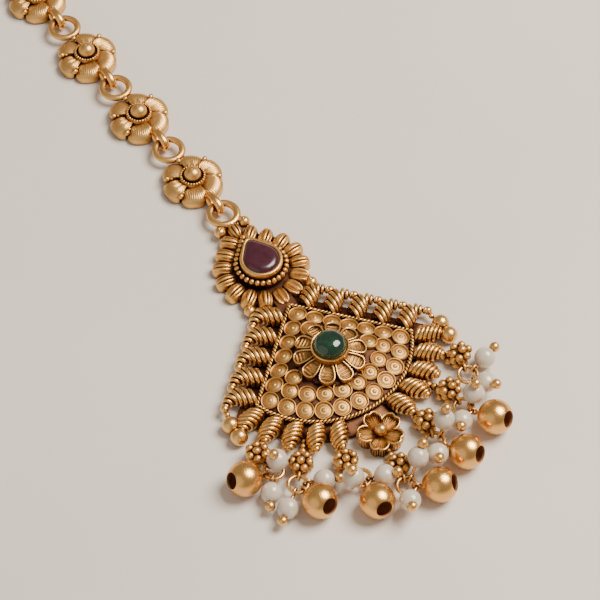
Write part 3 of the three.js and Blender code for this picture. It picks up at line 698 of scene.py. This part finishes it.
def wound_coil(form, sections, length, turns, wire, lean, place):
    """Turns of wire round a core that swells and tapers along a line."""
    rows = smooth_path([(along * length, -aside * length, thick * COIL_RADIUS)
                        for along, aside, thick in sections], turns * 4)
    rows = even_path(rows, turns * 4)
    centres, radii = raised(rows[:, :2], 0), rows[:, 2]
    along = unit(np.gradient(centres, axis=0))
    side = np.column_stack([-along[:, 1], along[:, 0], np.zeros(len(along))])
    # The core is in the darkest gold, which paints the shade between the turns.
    tube(form, place(centres), radii - 1.7 * wire, 16, finish=1)
    angles = np.linspace(0, 2 * math.pi, 26, endpoint=False)
    for k in range(turns):
        i = min(4 * k + 2, len(rows) - 1)
        reach = max(radii[i] - wire, wire)
        shear = lean * min(1, reach / (0.5 * COIL_RADIUS))
        across = side[i] + shear * along[i]
        path = (centres[i] + reach * (np.outer(np.cos(angles), across)
                                      + np.outer(np.sin(angles), (0, 0, 1))))
        tube(form, place(path), wire * (0.75 + 0.25 * radii[i] / COIL_RADIUS), 8, closed=True,
             normal=place(along[i:i + 1], direction=True)[0])


def placer(turn, centre, hand=1):
    """Moves points built along +X to where they belong; hand -1 mirrors them."""
    cos, sin = math.cos(math.radians(turn)), math.sin(math.radians(turn))
    matrix = np.array([(cos * hand, -sin * hand, 0), (sin, cos, 0), (0, 0, 1)])
    centre = np.array([centre[0] * hand, *centre[1:]])

    def place(points, direction=False):
        moved = np.asarray(points, float) @ matrix.T
        return moved if direction else moved + centre

    return place


def side_coils(form):
    for hand in (-1, 1):
        for i in range(SIDE_COILS):
            foot = (SIDE_START + i * SIDE_PITCH) / math.sqrt(2)
            inner = (ROPE_RADIUS + COIL_GAP + SIDE_LENGTH / 2) / math.sqrt(2)
            place = placer(45 - SIDE_TURN, (foot + inner, APEX_Y - foot + inner, COIL_RADIUS), hand)
            wound_coil(form, SIDE_SECTIONS, SIDE_LENGTH, SIDE_TURNS, SIDE_WIRE, SIDE_LEAN, place)
            along, aside, _ = SIDE_SECTIONS[-1]
            tip = np.array([(along * SIDE_LENGTH, -aside * SIDE_LENGTH, 0)])
            ball(form, place(tip + (0.1, -0.2, 0))[0], 0.68)
            ball(form, place(tip + (-0.3, -1.05, -0.3))[0], 0.46)


def arc_coils(form):
    for hand in (-1, 1):
        for bearing in ARC_BEARINGS:
            reach = ARC_RADIUS + ROPE_RADIUS + COIL_GAP + ARC_LENGTH / 2
            x, y = heading(bearing) * reach
            place = placer(bearing - 90, (x, ARC_CENTRE_Y + y, COIL_RADIUS), hand)
            wound_coil(form, ARC_SECTIONS, ARC_LENGTH, ARC_TURNS, ARC_WIRE, ARC_LEAN, place)
            end = np.array([(ARC_LENGTH / 2 + 0.15, 0, 0)])
            ball(form, place(end)[0], 0.6)
            ball(form, place(end + (0, 0.8, -0.5))[0], 0.45)


def corner_balls(form):
    for hand in (-1, 1):
        for bearing, reach in CORNER_BALLS:
            x, y = heading(bearing * hand) * reach
            ball(form, (x, ARC_CENTRE_Y + y, CORNER_BALL), CORNER_BALL, 36, 22)


# Flower in the middle of the fan

def petal_outline(steps):
    """A petal's edge from its inner left corner round its tip: shares of length and half-width."""
    angle = np.linspace(-1, 1, steps) * math.pi / 2
    flank = np.linspace(0, 1, steps // 2, endpoint=False)
    start = np.column_stack([0.7 * flank, -0.56 - 0.44 * np.sin(flank * math.pi / 2)])
    tip = np.column_stack([0.7 + 0.3 * np.cos(angle), np.sin(angle)])
    return np.concatenate([start, tip, start[::-1] * (1, -1)])


def flower_petal(form, bearing, draw):
    """A petal with a wire rim, a sunken engraved floor and a side wall, rising to the stone."""
    out, length = heading(bearing), FLOWER_RADIUS - FLOWER_INNER - FLOWER_RIM
    side = np.array([-out[1], out[0]])
    half_width = PETAL_HALF_WIDTH * draw.uniform(0.97, 1.03)
    edge = petal_outline(20)
    droop, phase = draw.uniform(0, 0.1), draw.uniform(0, 6)

    def place(shares, below):
        points = (out * (FLOWER_INNER + shares[:, :1] * length)
                  + side * shares[:, 1:2] * half_width)
        height = FLOWER_TIP_Z + FLOWER_RISE * (1 - shares[:, 0]) - droop * shares[:, 0]
        return raised(points, height - below)

    tube(form, place(edge, FLOWER_RIM), FLOWER_RIM, 8)
    wall = [place(edge * (1, 0.98), below) for below in (PETAL_WALL, FLOWER_RIM)]
    form.add(np.concatenate(wall), grid_faces(2, len(edge)), 1)
    middle = np.array([0.55, 0.0])
    rows = []
    for share in np.linspace(1, 0.0, 13):
        shares = middle + (edge - middle) * share
        grooves = 0.06 * np.cos(shares[:, 0] * 34 + phase)
        hollow = PETAL_HOLLOW + 0.2 * (1 - share ** 4)
        rows.append(place(shares, hollow + grooves * (1 - share ** 6)))
    form.add(np.concatenate(rows), grid_faces(len(rows), len(edge)), 1)


def flower(form):
    draw = random.Random(SEED + 1)
    for i in range(FLOWER_PETALS):
        flower_petal(form, 360 * i / FLOWER_PETALS, draw)


def scalloped_tier(form):
    """The darker plate under the flower, with a scalloped and fluted edge."""
    steps = 288
    angle = np.linspace(0, 2 * math.pi, steps, endpoint=False)
    scallop = np.abs(np.cos(angle * FLOWER_PETALS / 2)) ** 0.7
    radius = TIER_RADIUS - TIER_NOTCH * scallop + 0.04 * np.cos(angle * TIER_FLUTES)
    rings = []
    for trim, z in ((0, DOME_EDGE_Z), (0, TIER_TOP - 0.5), (0.12, TIER_TOP - 0.2),
                    (0.4, TIER_TOP - 0.1), (1.2, TIER_TOP - 0.2), (3.2, TIER_TOP)):
        reach = radius - trim
        rings.append(raised(np.column_stack([np.sin(angle) * reach, -np.cos(angle) * reach]), z))
    loft(form, rings)


def emerald_setting(form):
    """A dull wall with a thin bright band round the stone at its top."""
    outer, inner, lip = EMERALD_WALL, EMERALD_RADIUS - 0.02, EMERALD_BASE + LIP
    wall, top = outer - 0.06, lip - 0.42
    lathe(form, [(0, DOME_EDGE_Z), (wall, DOME_EDGE_Z), (wall, top), (0, top)], 72, finish=1)
    band = [(inner, EMERALD_BASE), (outer - 0.1, lip - 0.48), (outer, lip - 0.36),
            (outer - 0.03, lip - 0.1), (outer - 0.12, lip), (inner + 0.08, lip - 0.02),
            (inner, lip - 0.12), (inner, EMERALD_BASE)]
    lathe(form, band, 72)


def emerald_stone(form):
    """A round stone with a domed top worn soft round broad facets."""
    rows, sides = 40, 96
    angle = np.linspace(0, 2 * math.pi, sides, endpoint=False)
    crown = EMERALD_HEIGHT - LIP
    rings = [raised(np.column_stack([np.cos(angle), np.sin(angle)]) * reach * EMERALD_RADIUS,
                    EMERALD_BASE + rise) for reach, rise in ((0.8, 0), (1, 0.45), (1, LIP))]
    for k in range(1, rows):
        tilt = math.pi / 2 * (k / rows)
        facet = 0.985 + 0.015 * np.cos(angle * EMERALD_FACETS + 0.4) * math.sin(2 * tilt)
        reach = EMERALD_RADIUS * math.cos(tilt) ** 0.8 * facet
        top = EMERALD_BASE + LIP + crown * min(math.sin(tilt) ** 1.1, 0.985 + 0.015 * k / rows)
        rings.append(raised(np.column_stack([np.cos(angle) * reach, np.sin(angle) * reach]), top))
    loft(form, rings, end=(0, 0, EMERALD_BASE + EMERALD_HEIGHT))


# Small flower on the arc

def small_flower(form):
    """Five broad petals with pleats, a wavy wire rim and a fluted wall."""
    steps = 400
    angle = np.linspace(0, 2 * math.pi, steps, endpoint=False)
    within = angle * SMALL_PETALS / (2 * math.pi) % 1
    lobe = np.sin(math.pi * within) ** 0.55
    notch = np.exp(-((within - 0.5) / 0.09) ** 2)
    radius = SMALL_FLOWER_RADIUS * (0.58 + 0.42 * lobe - 0.09 * notch) - SMALL_FLOWER_RIM
    out = np.column_stack([np.sin(angle), -np.cos(angle)])
    centre = np.array([0, SMALL_FLOWER_Y])
    pleats = np.cos(angle * SMALL_PLEATS)
    seam = np.exp(-(np.minimum(within, 1 - within) / 0.05) ** 2)
    rim_z = SMALL_FLOWER_TOP - 0.25 - 0.25 * (1 - lobe)

    def ring(share, z):
        return raised(centre + out * (radius * share)[:, None], z)

    one = np.ones(steps)
    flutes = 1 - 0.05 * np.cos(angle * SMALL_FLUTES)
    rings = [ring(one * 0.93, 0.0), ring(flutes * 0.96, 0.6), ring(flutes, 1.5), ring(one, rim_z)]
    for share in np.linspace(0.94, 0.24, 14):
        bowl = rim_z - 0.5 - 0.35 * (1 - share) + 0.09 * pleats * share
        rings.append(ring(one * share, bowl - 0.08 * notch + 0.2 * seam * share))
    loft(form, rings, 1)
    tube(form, ring(one, rim_z + 0.04), SMALL_FLOWER_RIM, 8, closed=True)
    ball(form, (0, SMALL_FLOWER_Y, SMALL_FLOWER_TOP - 0.05), SMALL_FLOWER_BALL, 32, 20)


# Crest

def crest_places():
    """Middle and outward direction of each petal round the pear, from its point."""
    outline = even_path(pear_outline(CREST_RADIUS, CREST_TIP, 360), CREST_PETALS * 20, closed=True)
    along = unit(np.roll(outline, -6, axis=0) - np.roll(outline, 6, axis=0))
    for k in range(CREST_PETALS):
        x, y = outline[20 * k]
        dx, dy = along[20 * k]
        yield (x, y + CREST_Y), np.array([-dy, dx]), k


def crest_petal(form, middle, outward, hollow, draw):
    """A seed-like petal with grooves along it; a hollow one is sunk inside its rim."""
    side = np.array([-outward[1], outward[0]])
    steps, arcs = 24, 48
    turn = np.linspace(0.02, math.pi - 0.02, steps)
    around = np.linspace(-0.25, math.pi + 0.25, arcs)
    offset = around - math.pi / 2
    width = CREST_HALF_WIDTH * draw.uniform(0.96, 1.02)
    tall = CREST_HEIGHT * draw.uniform(0.95, 1.0)
    rows = []
    for a in turn:
        share = 0.5 - 0.5 * math.cos(a)
        swell = math.sin(a) ** (0.75 - 0.2 * share)
        out = (-0.6 + 1.1 * share) * CREST_LENGTH
        deep = math.sin(a) ** 0.8
        if hollow:
            cut = 0.34 * np.exp(-(offset / 0.75) ** 8) - 0.2 * np.exp(-(offset / 0.25) ** 2)
        else:
            cut = sum(0.16 * np.exp(-((offset - g) / 0.09) ** 2) for g in (-0.3, 0.3))
            cut = cut + sum(0.08 * np.exp(-((offset - g) / 0.09) ** 2) for g in (-0.85, 0.85))
        scale = 1 - cut * deep
        x = np.cos(around) * width * swell * scale
        z = tall * (0.32 + 0.68 * np.sin(around)) * scale * swell ** 0.6
        flat = np.asarray(middle) + outward * out + np.outer(x, side)
        rows.append(raised(flat, np.maximum(z, 0.02)))
    loft(form, rows)


def crest_petals(form):
    draw = random.Random(SEED + 2)
    for middle, outward, k in crest_places():
        crest_petal(form, middle, outward, k in HOLLOW_PETALS, draw)


def pear_ring(radius, tip, z):
    """A pear outline at a height, with its point worn round."""
    outline = pear_outline(radius, tip, PEAR_STEPS)
    for _ in range(PEAR_WEAR):
        outline = (outline * 2 + np.roll(outline, 1, axis=0) + np.roll(outline, -1, axis=0)) / 4
    return raised(outline + (0, CREST_Y), z)


def ruby_setting(form):
    """Collar with a bright bead row and a band round the red stone, on a plate; collar and plate
    are in a dark gold that paints shade.
    """
    margin, top = CREST_PLATE
    loft(form, [pear_ring(CREST_RADIUS + margin, CREST_TIP + margin, z) for z in (0.0, top)], 1)
    outer, tip, lip = RUBY_RADIUS + RUBY_WALL, RUBY_TIP + RUBY_WALL, RUBY_BASE + LIP
    collar = [(COLLAR_MARGIN - 0.4, 0), (COLLAR_MARGIN - 0.4, COLLAR_TOP - 0.5),
              (0.3, COLLAR_TOP - 0.4), (0.0, COLLAR_TOP - 0.4)]
    loft(form, [pear_ring(outer + d, tip + d, z) for d, z in collar], 1)
    band = [(0.0, COLLAR_TOP - 0.4), (0.08, COLLAR_TOP), (0.1, lip - 0.35), (0.04, lip - 0.12),
            (-0.1, lip), (-0.34, lip), (-0.48, lip - 0.08), (-0.56, lip - 0.25), (-0.56, RUBY_BASE)]
    loft(form, [pear_ring(outer + d, tip + d, z) for d, z in band])
    beads = even_path(pear_outline(outer + 0.56, tip + 0.66, 240), RUBY_BEADS, closed=True)
    for x, y in beads:
        low = max(0.0, -y / outer)
        out = Vector((x, y, 0)).normalized()
        ellipsoid(form, (x, y + CREST_Y, COLLAR_TOP), out, 0.4 + 0.05 * low, 1.25 - 0.2 * low)


def ellipsoid(form, centre, along, radius, longer, finish=0):
    """A bead drawn out along one direction."""
    turn = np.array(Vector((1, 0, 0)).rotation_difference(along).to_matrix())
    angles = np.linspace(0, math.pi, 9)
    profile = [(radius * math.sin(a), -radius * math.cos(a)) for a in angles]
    lathe(form, profile, 12, lambda p: (p * (longer, 1, 1)) @ turn.T + np.asarray(centre), finish)


def ruby_stone(form):
    """A low pear-shaped stone with a broad table."""
    rows = ((0.78, 0), (0.99, 0.3), (1.0, 0.42), (0.97, 0.55), (0.86, 0.8), (0.74, 0.95),
            (0.6, 0.985), (0.3, 0.998))
    rings = [pear_ring(RUBY_RADIUS, RUBY_TIP, RUBY_BASE + rise * RUBY_HEIGHT) for _, rise in rows]
    centre = np.array([0, CREST_Y, 0])
    rings = [(ring - centre) * (share, share, 1) + centre for ring, (share, _) in zip(rings, rows)]
    loft(form, rings, end=(0, CREST_Y, RUBY_BASE + RUBY_HEIGHT))


def dimpled_ball(form, centre, radius):
    angles = np.linspace(0, math.pi - 0.16, 20)
    profile = [(radius * math.sin(a), -radius * math.cos(a)) for a in angles]
    profile += [(0.08 * radius, 0.93 * radius), (0, 0.9 * radius)]
    lathe(form, profile, 32, lambda p: p + np.asarray(centre))


def crest_trim(form):
    """The balls at both ends of the crest and the ring that the chain starts from."""
    for x, y, z in CREST_BALLS:
        for hand in (-1, 1):
            dimpled_ball(form, (x * hand, y + CREST_Y, z), CREST_BALL)
    y = CREST_Y + CREST_RING_REACH
    flat_ring(form, (0, y, CHAIN_Z), CREST_RING, squash=0.9)
    stub = [(0, CREST_Y + CREST_TIP, 1.2), (0, y - CREST_RING[0], CHAIN_Z)]
    tube(form, stub, CREST_RING[1], 12)


# Clusters and what hangs on them

def cluster_centre(bearing, reach):
    return np.array([0, ARC_CENTRE_Y]) + heading(bearing) * reach


def ring_centre(row):
    bearing, reach, hang = row
    return cluster_centre(bearing, reach) + heading(hang) * (EYE_REACH + JUMP_RING[0])


def cluster(form, row, draw):
    """Granules heaped like a berry, an eye for the ring and a neck of granules to the edge."""
    bearing, reach, hang = row
    x, y = cluster_centre(bearing, reach)
    side = CLUSTER_RADIUS - GRANULE
    layers = ((6, side, 0.75, 30, 0), (6, side, 1.75, 0, 0.15), (6, side * 0.96, 2.5, 30, 0.45),
              (1, 0, 3.05, 0, 0.65))
    lean = heading(bearing)
    core, taller, core_z = CLUSTER_CORE
    # The core is in the darkest gold, which paints the shade between the granules.
    ellipsoid(form, (x, y, core_z), Vector((0, 0, 1)), core, taller, 1)
    for count, radius, z, start, shift in layers:
        for i in range(count):
            u, v = heading(start + hang + 360 * i / count) * radius + lean * shift
            wobble = [draw.uniform(-0.06, 0.06) for _ in range(2)]
            ball(form, (x + u + wobble[0], y + v + wobble[1], z), GRANULE * draw.uniform(0.92, 1.0))
    u, v = heading(hang) * EYE_REACH
    standing_ring(form, (x + u, y + v, JUMP_RING_Z), EYE, hang)
    for step, size in NECK_GRANULES:
        u, v = heading(bearing) * step
        ball(form, (x - u, y - v, NECK_Z), size)


def clusters(form):
    draw = random.Random(SEED + 3)
    for row in CLUSTERS:
        cluster(form, row, draw)


def skin_rows(radius, height, start, stop, rows):
    angles = np.linspace(start, stop, rows)
    return [(radius * math.sin(a), height - radius * math.cos(a)) for a in angles]


def hollow_ball(form, stem, place, across):
    """A ball with a round hole at its far end, a little above the pin's line, and painted brown shade
    inside.
    """
    height, inner, sides = EYE[0] + stem + BALL, BALL - BALL_WALL, 56
    ends = [math.pi - math.asin(BALL_HOLE / r) for r in (BALL, inner)]
    outside = skin_rows(BALL, height, 0.12, ends[0] - 0.02, 30)
    inside = skin_rows(inner, height, ends[1], 0.3, 16)
    lip = [(BALL_HOLE - 0.02, outside[-1][1] + 0.02)]
    middle = np.array([0, 0, height])
    turn = np.array(Matrix.Rotation(math.radians(-HOLE_TILT), 3, across))

    def tilted(points):
        return place((points - middle) @ turn.T + middle)

    first = len(form.finishes)
    rows = [(0, height - BALL), *outside, *lip, *inside, (0, height - inner)]
    lathe(form, rows, sides, tilted)
    # Faces from the lip inwards get the brown that paints the shade inside.
    dark = first + sides * len(outside)
    form.finishes[dark:] = [2] * (len(form.finishes) - dark)


def pinned_pearl(form, stem, place, draw):
    """A pearl, not quite round, with the gold bead of its pin beyond it."""
    height = EYE[0] + stem + PEARL
    phases = [draw.uniform(0, 2 * math.pi) for _ in range(3)]

    def uneven(points):
        centre = np.array([0, 0, height])
        out = points - centre
        angle = np.arctan2(out[:, 1], out[:, 0]) + phases[0]
        lump = 0.014 * np.sin(2 * angle) + 0.012 * np.sin(out[:, 2] * 2.2 + phases[1])
        return place(centre + out * (1 + lump[:, None]))

    skin = skin_rows(PEARL * 0.98, height, 0.1, math.pi - 0.1, 26)
    lathe(form, [(0, skin[0][1]), *skin, (0, skin[-1][1])], 44, uneven, 1)
    bead = height + PEARL + END_BEAD_PROUD
    rows = skin_rows(END_BEAD, bead, 0.0, math.pi, 16)
    lathe(form, rows, 24, place)


def drop_piece(form, row, draw):
    """A ball or pearl on its pin, with the loop that holds it to the ring."""
    ring, kind, bearing, lift, stem = row
    radius = PEARL if kind == "pearl" else BALL
    length = EYE[0] + stem + radius
    raise_by = math.asin((radius - JUMP_RING_Z) / length) if lift is None else math.radians(lift)
    out = heading(bearing)
    x, y = ring_centre(CLUSTERS[ring - 1]) + out * JUMP_RING[0]
    loop = np.array([x, y, JUMP_RING_Z])
    along = Vector((*(out * math.cos(raise_by)), math.sin(raise_by)))
    turn = np.array(Vector((0, 0, 1)).rotation_difference(along).to_matrix())

    def place(points):
        return np.asarray(points, float) @ turn.T + loop

    across = Vector((-out[1], out[0], 0))
    standing_ring(form, loop, EYE, bearing)
    tube(form, place([(0, 0, EYE[0]), (0, 0, EYE[0] + stem + 0.3)]), PIN, 10, normal=across)
    if kind == "pearl":
        pinned_pearl(form, stem, place, draw)
    else:
        hollow_ball(form, stem, place, across)


# Chain

def link_frame(reach):
    """Moves points built along +Y to a distance up the leaning chain."""
    cos, sin = math.cos(math.radians(CHAIN_LEAN)), math.sin(math.radians(CHAIN_LEAN))
    matrix = np.array([(cos, -sin, 0), (sin, cos, 0), (0, 0, 1)])
    start = np.array([0, CREST_Y + CREST_RING_REACH, 0])
    return lambda points: (np.asarray(points, float) + (0, reach, 0)) @ matrix.T + start


def link_petal(form, bearing, place):
    """A broad petal, engraved along its length, that laps over its neighbour."""
    half = math.pi / LINK_PETALS * 1.06
    middle = math.radians(bearing)
    rows = []
    for share in np.linspace(0, 1, 17):
        row = []
        for v in np.linspace(-1, 1, 49):
            edge = LINK_RADIUS * (1 - 0.13 * abs(v) ** 3.5) - 0.04
            reach = 1.35 + (edge - 1.35) * share
            angle = middle + v * half * (0.88 + 0.08 * math.sin(math.pi * share))
            lines = 0.035 * math.cos(v * 40) * min(1, 3 * share) * min(1, 5 * (1 - share))
            arch = 0.2 * (1 - v * v) * (0.5 + 0.5 * share)
            tip = 0.95 * share ** 5
            z = LINK_TOP - 0.42 + arch - tip + 0.34 * v + lines - 0.35 * (1 - share) ** 2
            row.append((math.sin(angle) * reach, -math.cos(angle) * reach, z))
        rows.append(row)
    top = np.array(rows)
    foot = top.copy()
    foot[:, :, 2] = 0.25
    form.add(place(top.reshape(-1, 3)), grid_faces(*top.shape[:2], wrap_columns=False))
    edges = [np.concatenate([grid[0], grid[1:, -1], grid[-1, -2::-1], grid[-2:0:-1, 0]])
             for grid in (top, foot)]
    count = len(edges[0])
    form.add(place(np.concatenate(edges)), grid_faces(2, count) + [tuple(range(count, 2 * count))])


def flower_link(form, index):
    """Six swirled petals, a domed middle in a bead row, a flat ring above and a bail below."""
    place = link_frame((index + 1) * LINK_PITCH - LINK_RING_REACH)
    for i in range(LINK_PETALS):
        bearing = 360 * i / LINK_PETALS
        link_petal(form, bearing + 180 / LINK_PETALS, place)
        x, y = heading(bearing)
        for reach, size, longer in LINK_JOINT_BEADS:
            out = np.array([(x * reach, y * reach, LINK_TOP - 0.62)])
            spot = place(out)[0]
            ahead = place(out + (x, y, 0))[0] - spot
            ellipsoid(form, spot, Vector(ahead), size, longer)
    hub = [(0, 0.2), (2.1, 0.2), (2.1, 2.2), (2.0, 2.35), (1.65, 2.3), (1.55, 2.1), (0, 2.1)]
    lathe(form, hub, 40, place)
    angles = np.linspace(0.12, math.pi / 2 + 0.45, 14)
    dome_rows = [(0, LINK_BALL_Z + LINK_BALL * 0.93), (0.1, LINK_BALL_Z + LINK_BALL * 0.98)]
    dome_rows += [(LINK_BALL * math.sin(a), LINK_BALL_Z + LINK_BALL * math.cos(a)) for a in angles]
    lathe(form, [*dome_rows, (0, LINK_BALL_Z - 0.6)], 36, place)
    reach, size, z = HUB_BEAD
    for i in range(HUB_BEADS):
        x, y = heading(360 * i / HUB_BEADS) * reach
        ball(form, place([(x, y, z)])[0], size, 8, 6)
    ring = [0, LINK_RING_REACH, CHAIN_Z]
    radius, wire = LINK_RING
    path = circle_path(ring, (radius, 0, 0), (0, radius, 0), 48)
    tube(form, place(path), wire, 14, True, squash=0.85, finish=2)
    middle = -(LINK_PITCH - LINK_RING_REACH) + BAIL_IN_RING + BAIL_HALF[0]
    bail(form, middle, place, 1)


def bail(form, middle, place, finish):
    path = circle_path((0, middle, CHAIN_Z), (0, BAIL_HALF[0], 0), (0, 0, BAIL_HALF[1]), 44)
    across = place([(1, 0, 0)])[0] - place([(0, 0, 0)])[0]
    tube(form, place(path), BAIL_WIRE * 0.95, 16, True, normal=across, finish=finish, squash=1.4)


def end_hook(form):
    """A plain open hook with a standing eye."""
    place = link_frame(LINKS * LINK_PITCH)
    bail(form, BAIL_IN_RING + BAIL_HALF[0], place, 0)
    start = BAIL_IN_RING + 2 * BAIL_HALF[0] - BAIL_WIRE / 2
    bend = start + HOOK_SHANK
    route = [(0, start, CHAIN_Z), (0, start + HOOK_SHANK * 0.4, CHAIN_Z * 0.6)]
    for i in range(7):
        angle = math.pi * i / 6
        route.append((HOOK_BEND * (1 - math.cos(angle)), bend + HOOK_BEND * math.sin(angle), HOOK_WIRE))
    route.append((2 * HOOK_BEND, bend - HOOK_POINT, HOOK_WIRE))
    path = even_path(smooth_path(route, 200), 90)
    tube(form, place(path), HOOK_WIRE - 0.01, 14)


# Pieces

def make_piece(name, form, finishes, replaced=None):
    """A Blender object from a form, riding on the CAD's one body."""
    mesh = bpy.data.meshes.new(name)
    mesh.from_pydata((np.concatenate(form.points) * MM).tolist(), [], form.faces)
    for finish in finishes:
        mesh.materials.append(finish)
    mesh.polygons.foreach_set("material_index", form.finishes)
    mesh.validate()
    mesh.shade_smooth()
    mesh.set_sharp_from_angle(angle=math.radians(SHARP_ANGLE))
    piece = bpy.data.objects.new(name, mesh)
    bpy.context.scene.collection.objects.link(piece)
    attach(piece, "root")
    if replaced:
        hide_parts(replaced)


def built(maker, *values):
    form = Form()
    maker(form, *values)
    return form


def add_floor():
    mesh = bpy.data.meshes.new("floor")
    reach, under = 1.5, -0.02 * MM
    corners = [(-reach, -reach, under), (reach, -reach, under), (reach, reach, under),
               (-reach, reach, under)]
    mesh.from_pydata(corners, [], [(0, 1, 2, 3)])
    mesh.materials.append(floor_cream())
    floor = bpy.data.objects.new("floor", mesh)
    bpy.context.scene.collection.objects.link(floor)


add_camera()
add_world((1.0, 0.92, 0.84), 0.36)
add_light("key", 77, 58, 0.55, 0.34, 5.4, (1.0, 0.95, 0.88))
add_light("fill", -75, 30, 0.9, 1.1, 1.5, (1.0, 0.93, 0.87))
add_floor()

# The darkest gold paints shade, with tarnish, on the back, the dome, the tier, the coil and cluster
# cores and the ruby's plate and collar.
cast, wire, satin, shade_and_tarnish = cast_gold(), wire_gold(), satin_gold(), shade_and_tarnish_gold()
pleated, inside, pearly = pleated_gold(), painted_shade_inside(), pearl()

make_piece("fan_back", built(back_plate), [shade_and_tarnish], "pendant_frame")
make_piece("fan_dome", built(dome), [shade_and_tarnish])
make_piece("discs", built(disc_field), [disc_gold()])
make_piece("rope_border", built(rope), [cast])
make_piece("side_coils", built(side_coils), [wire, shade_and_tarnish])
make_piece("arc_coils", built(arc_coils), [wire, shade_and_tarnish])
make_piece("corner_balls", built(corner_balls), [wire])
make_piece("flower_tier", built(scalloped_tier), [shade_and_tarnish])
make_piece("flower_petals", built(flower), [wire, pleated])
make_piece("emerald_setting", built(emerald_setting), [wire, pleated])
make_piece("small_flower", built(small_flower), [wire, cast])
make_piece("crest_petals", built(crest_petals), [cast])
make_piece("ruby_setting", built(ruby_setting), [cast, shade_and_tarnish])
make_piece("crest_trim", built(crest_trim), [wire])
make_piece("granule_clusters", built(clusters), [cast, shade_and_tarnish])
make_piece("ruby_stone", built(ruby_stone), [ruby_red()], "ruby")
make_piece("emerald_stone", built(emerald_stone), [emerald_green()], "emerald")

for number, row in enumerate(CLUSTERS, 1):
    x, y = ring_centre(row)
    form = built(flat_ring, (x, y, JUMP_RING_Z), JUMP_RING, 40)
    make_piece(f"ring_{number}", form, [wire], f"jump_ring_{number}")

draw = random.Random(SEED + 4)
counts = {"ball": 0, "pearl": 0}
for row in DROPS:
    kind = row[1]
    counts[kind] += 1
    name = f"{'hollow_ball' if kind == 'ball' else 'pearl_drop'}_{counts[kind]}"
    form = built(drop_piece, row, draw)
    if kind == "ball":
        make_piece(f"{name}_dressed", form, [satin, satin, inside], name)
    else:
        make_piece(f"{name}_dressed", form, [wire, pearly], name)

for number in range(LINKS):
    form = built(flower_link, number)
    make_piece(f"link_{number + 1}", form, [cast, satin, cast], f"flower_link_{number + 1}")
make_piece("hook", built(end_hook), [wire], "end_hook")
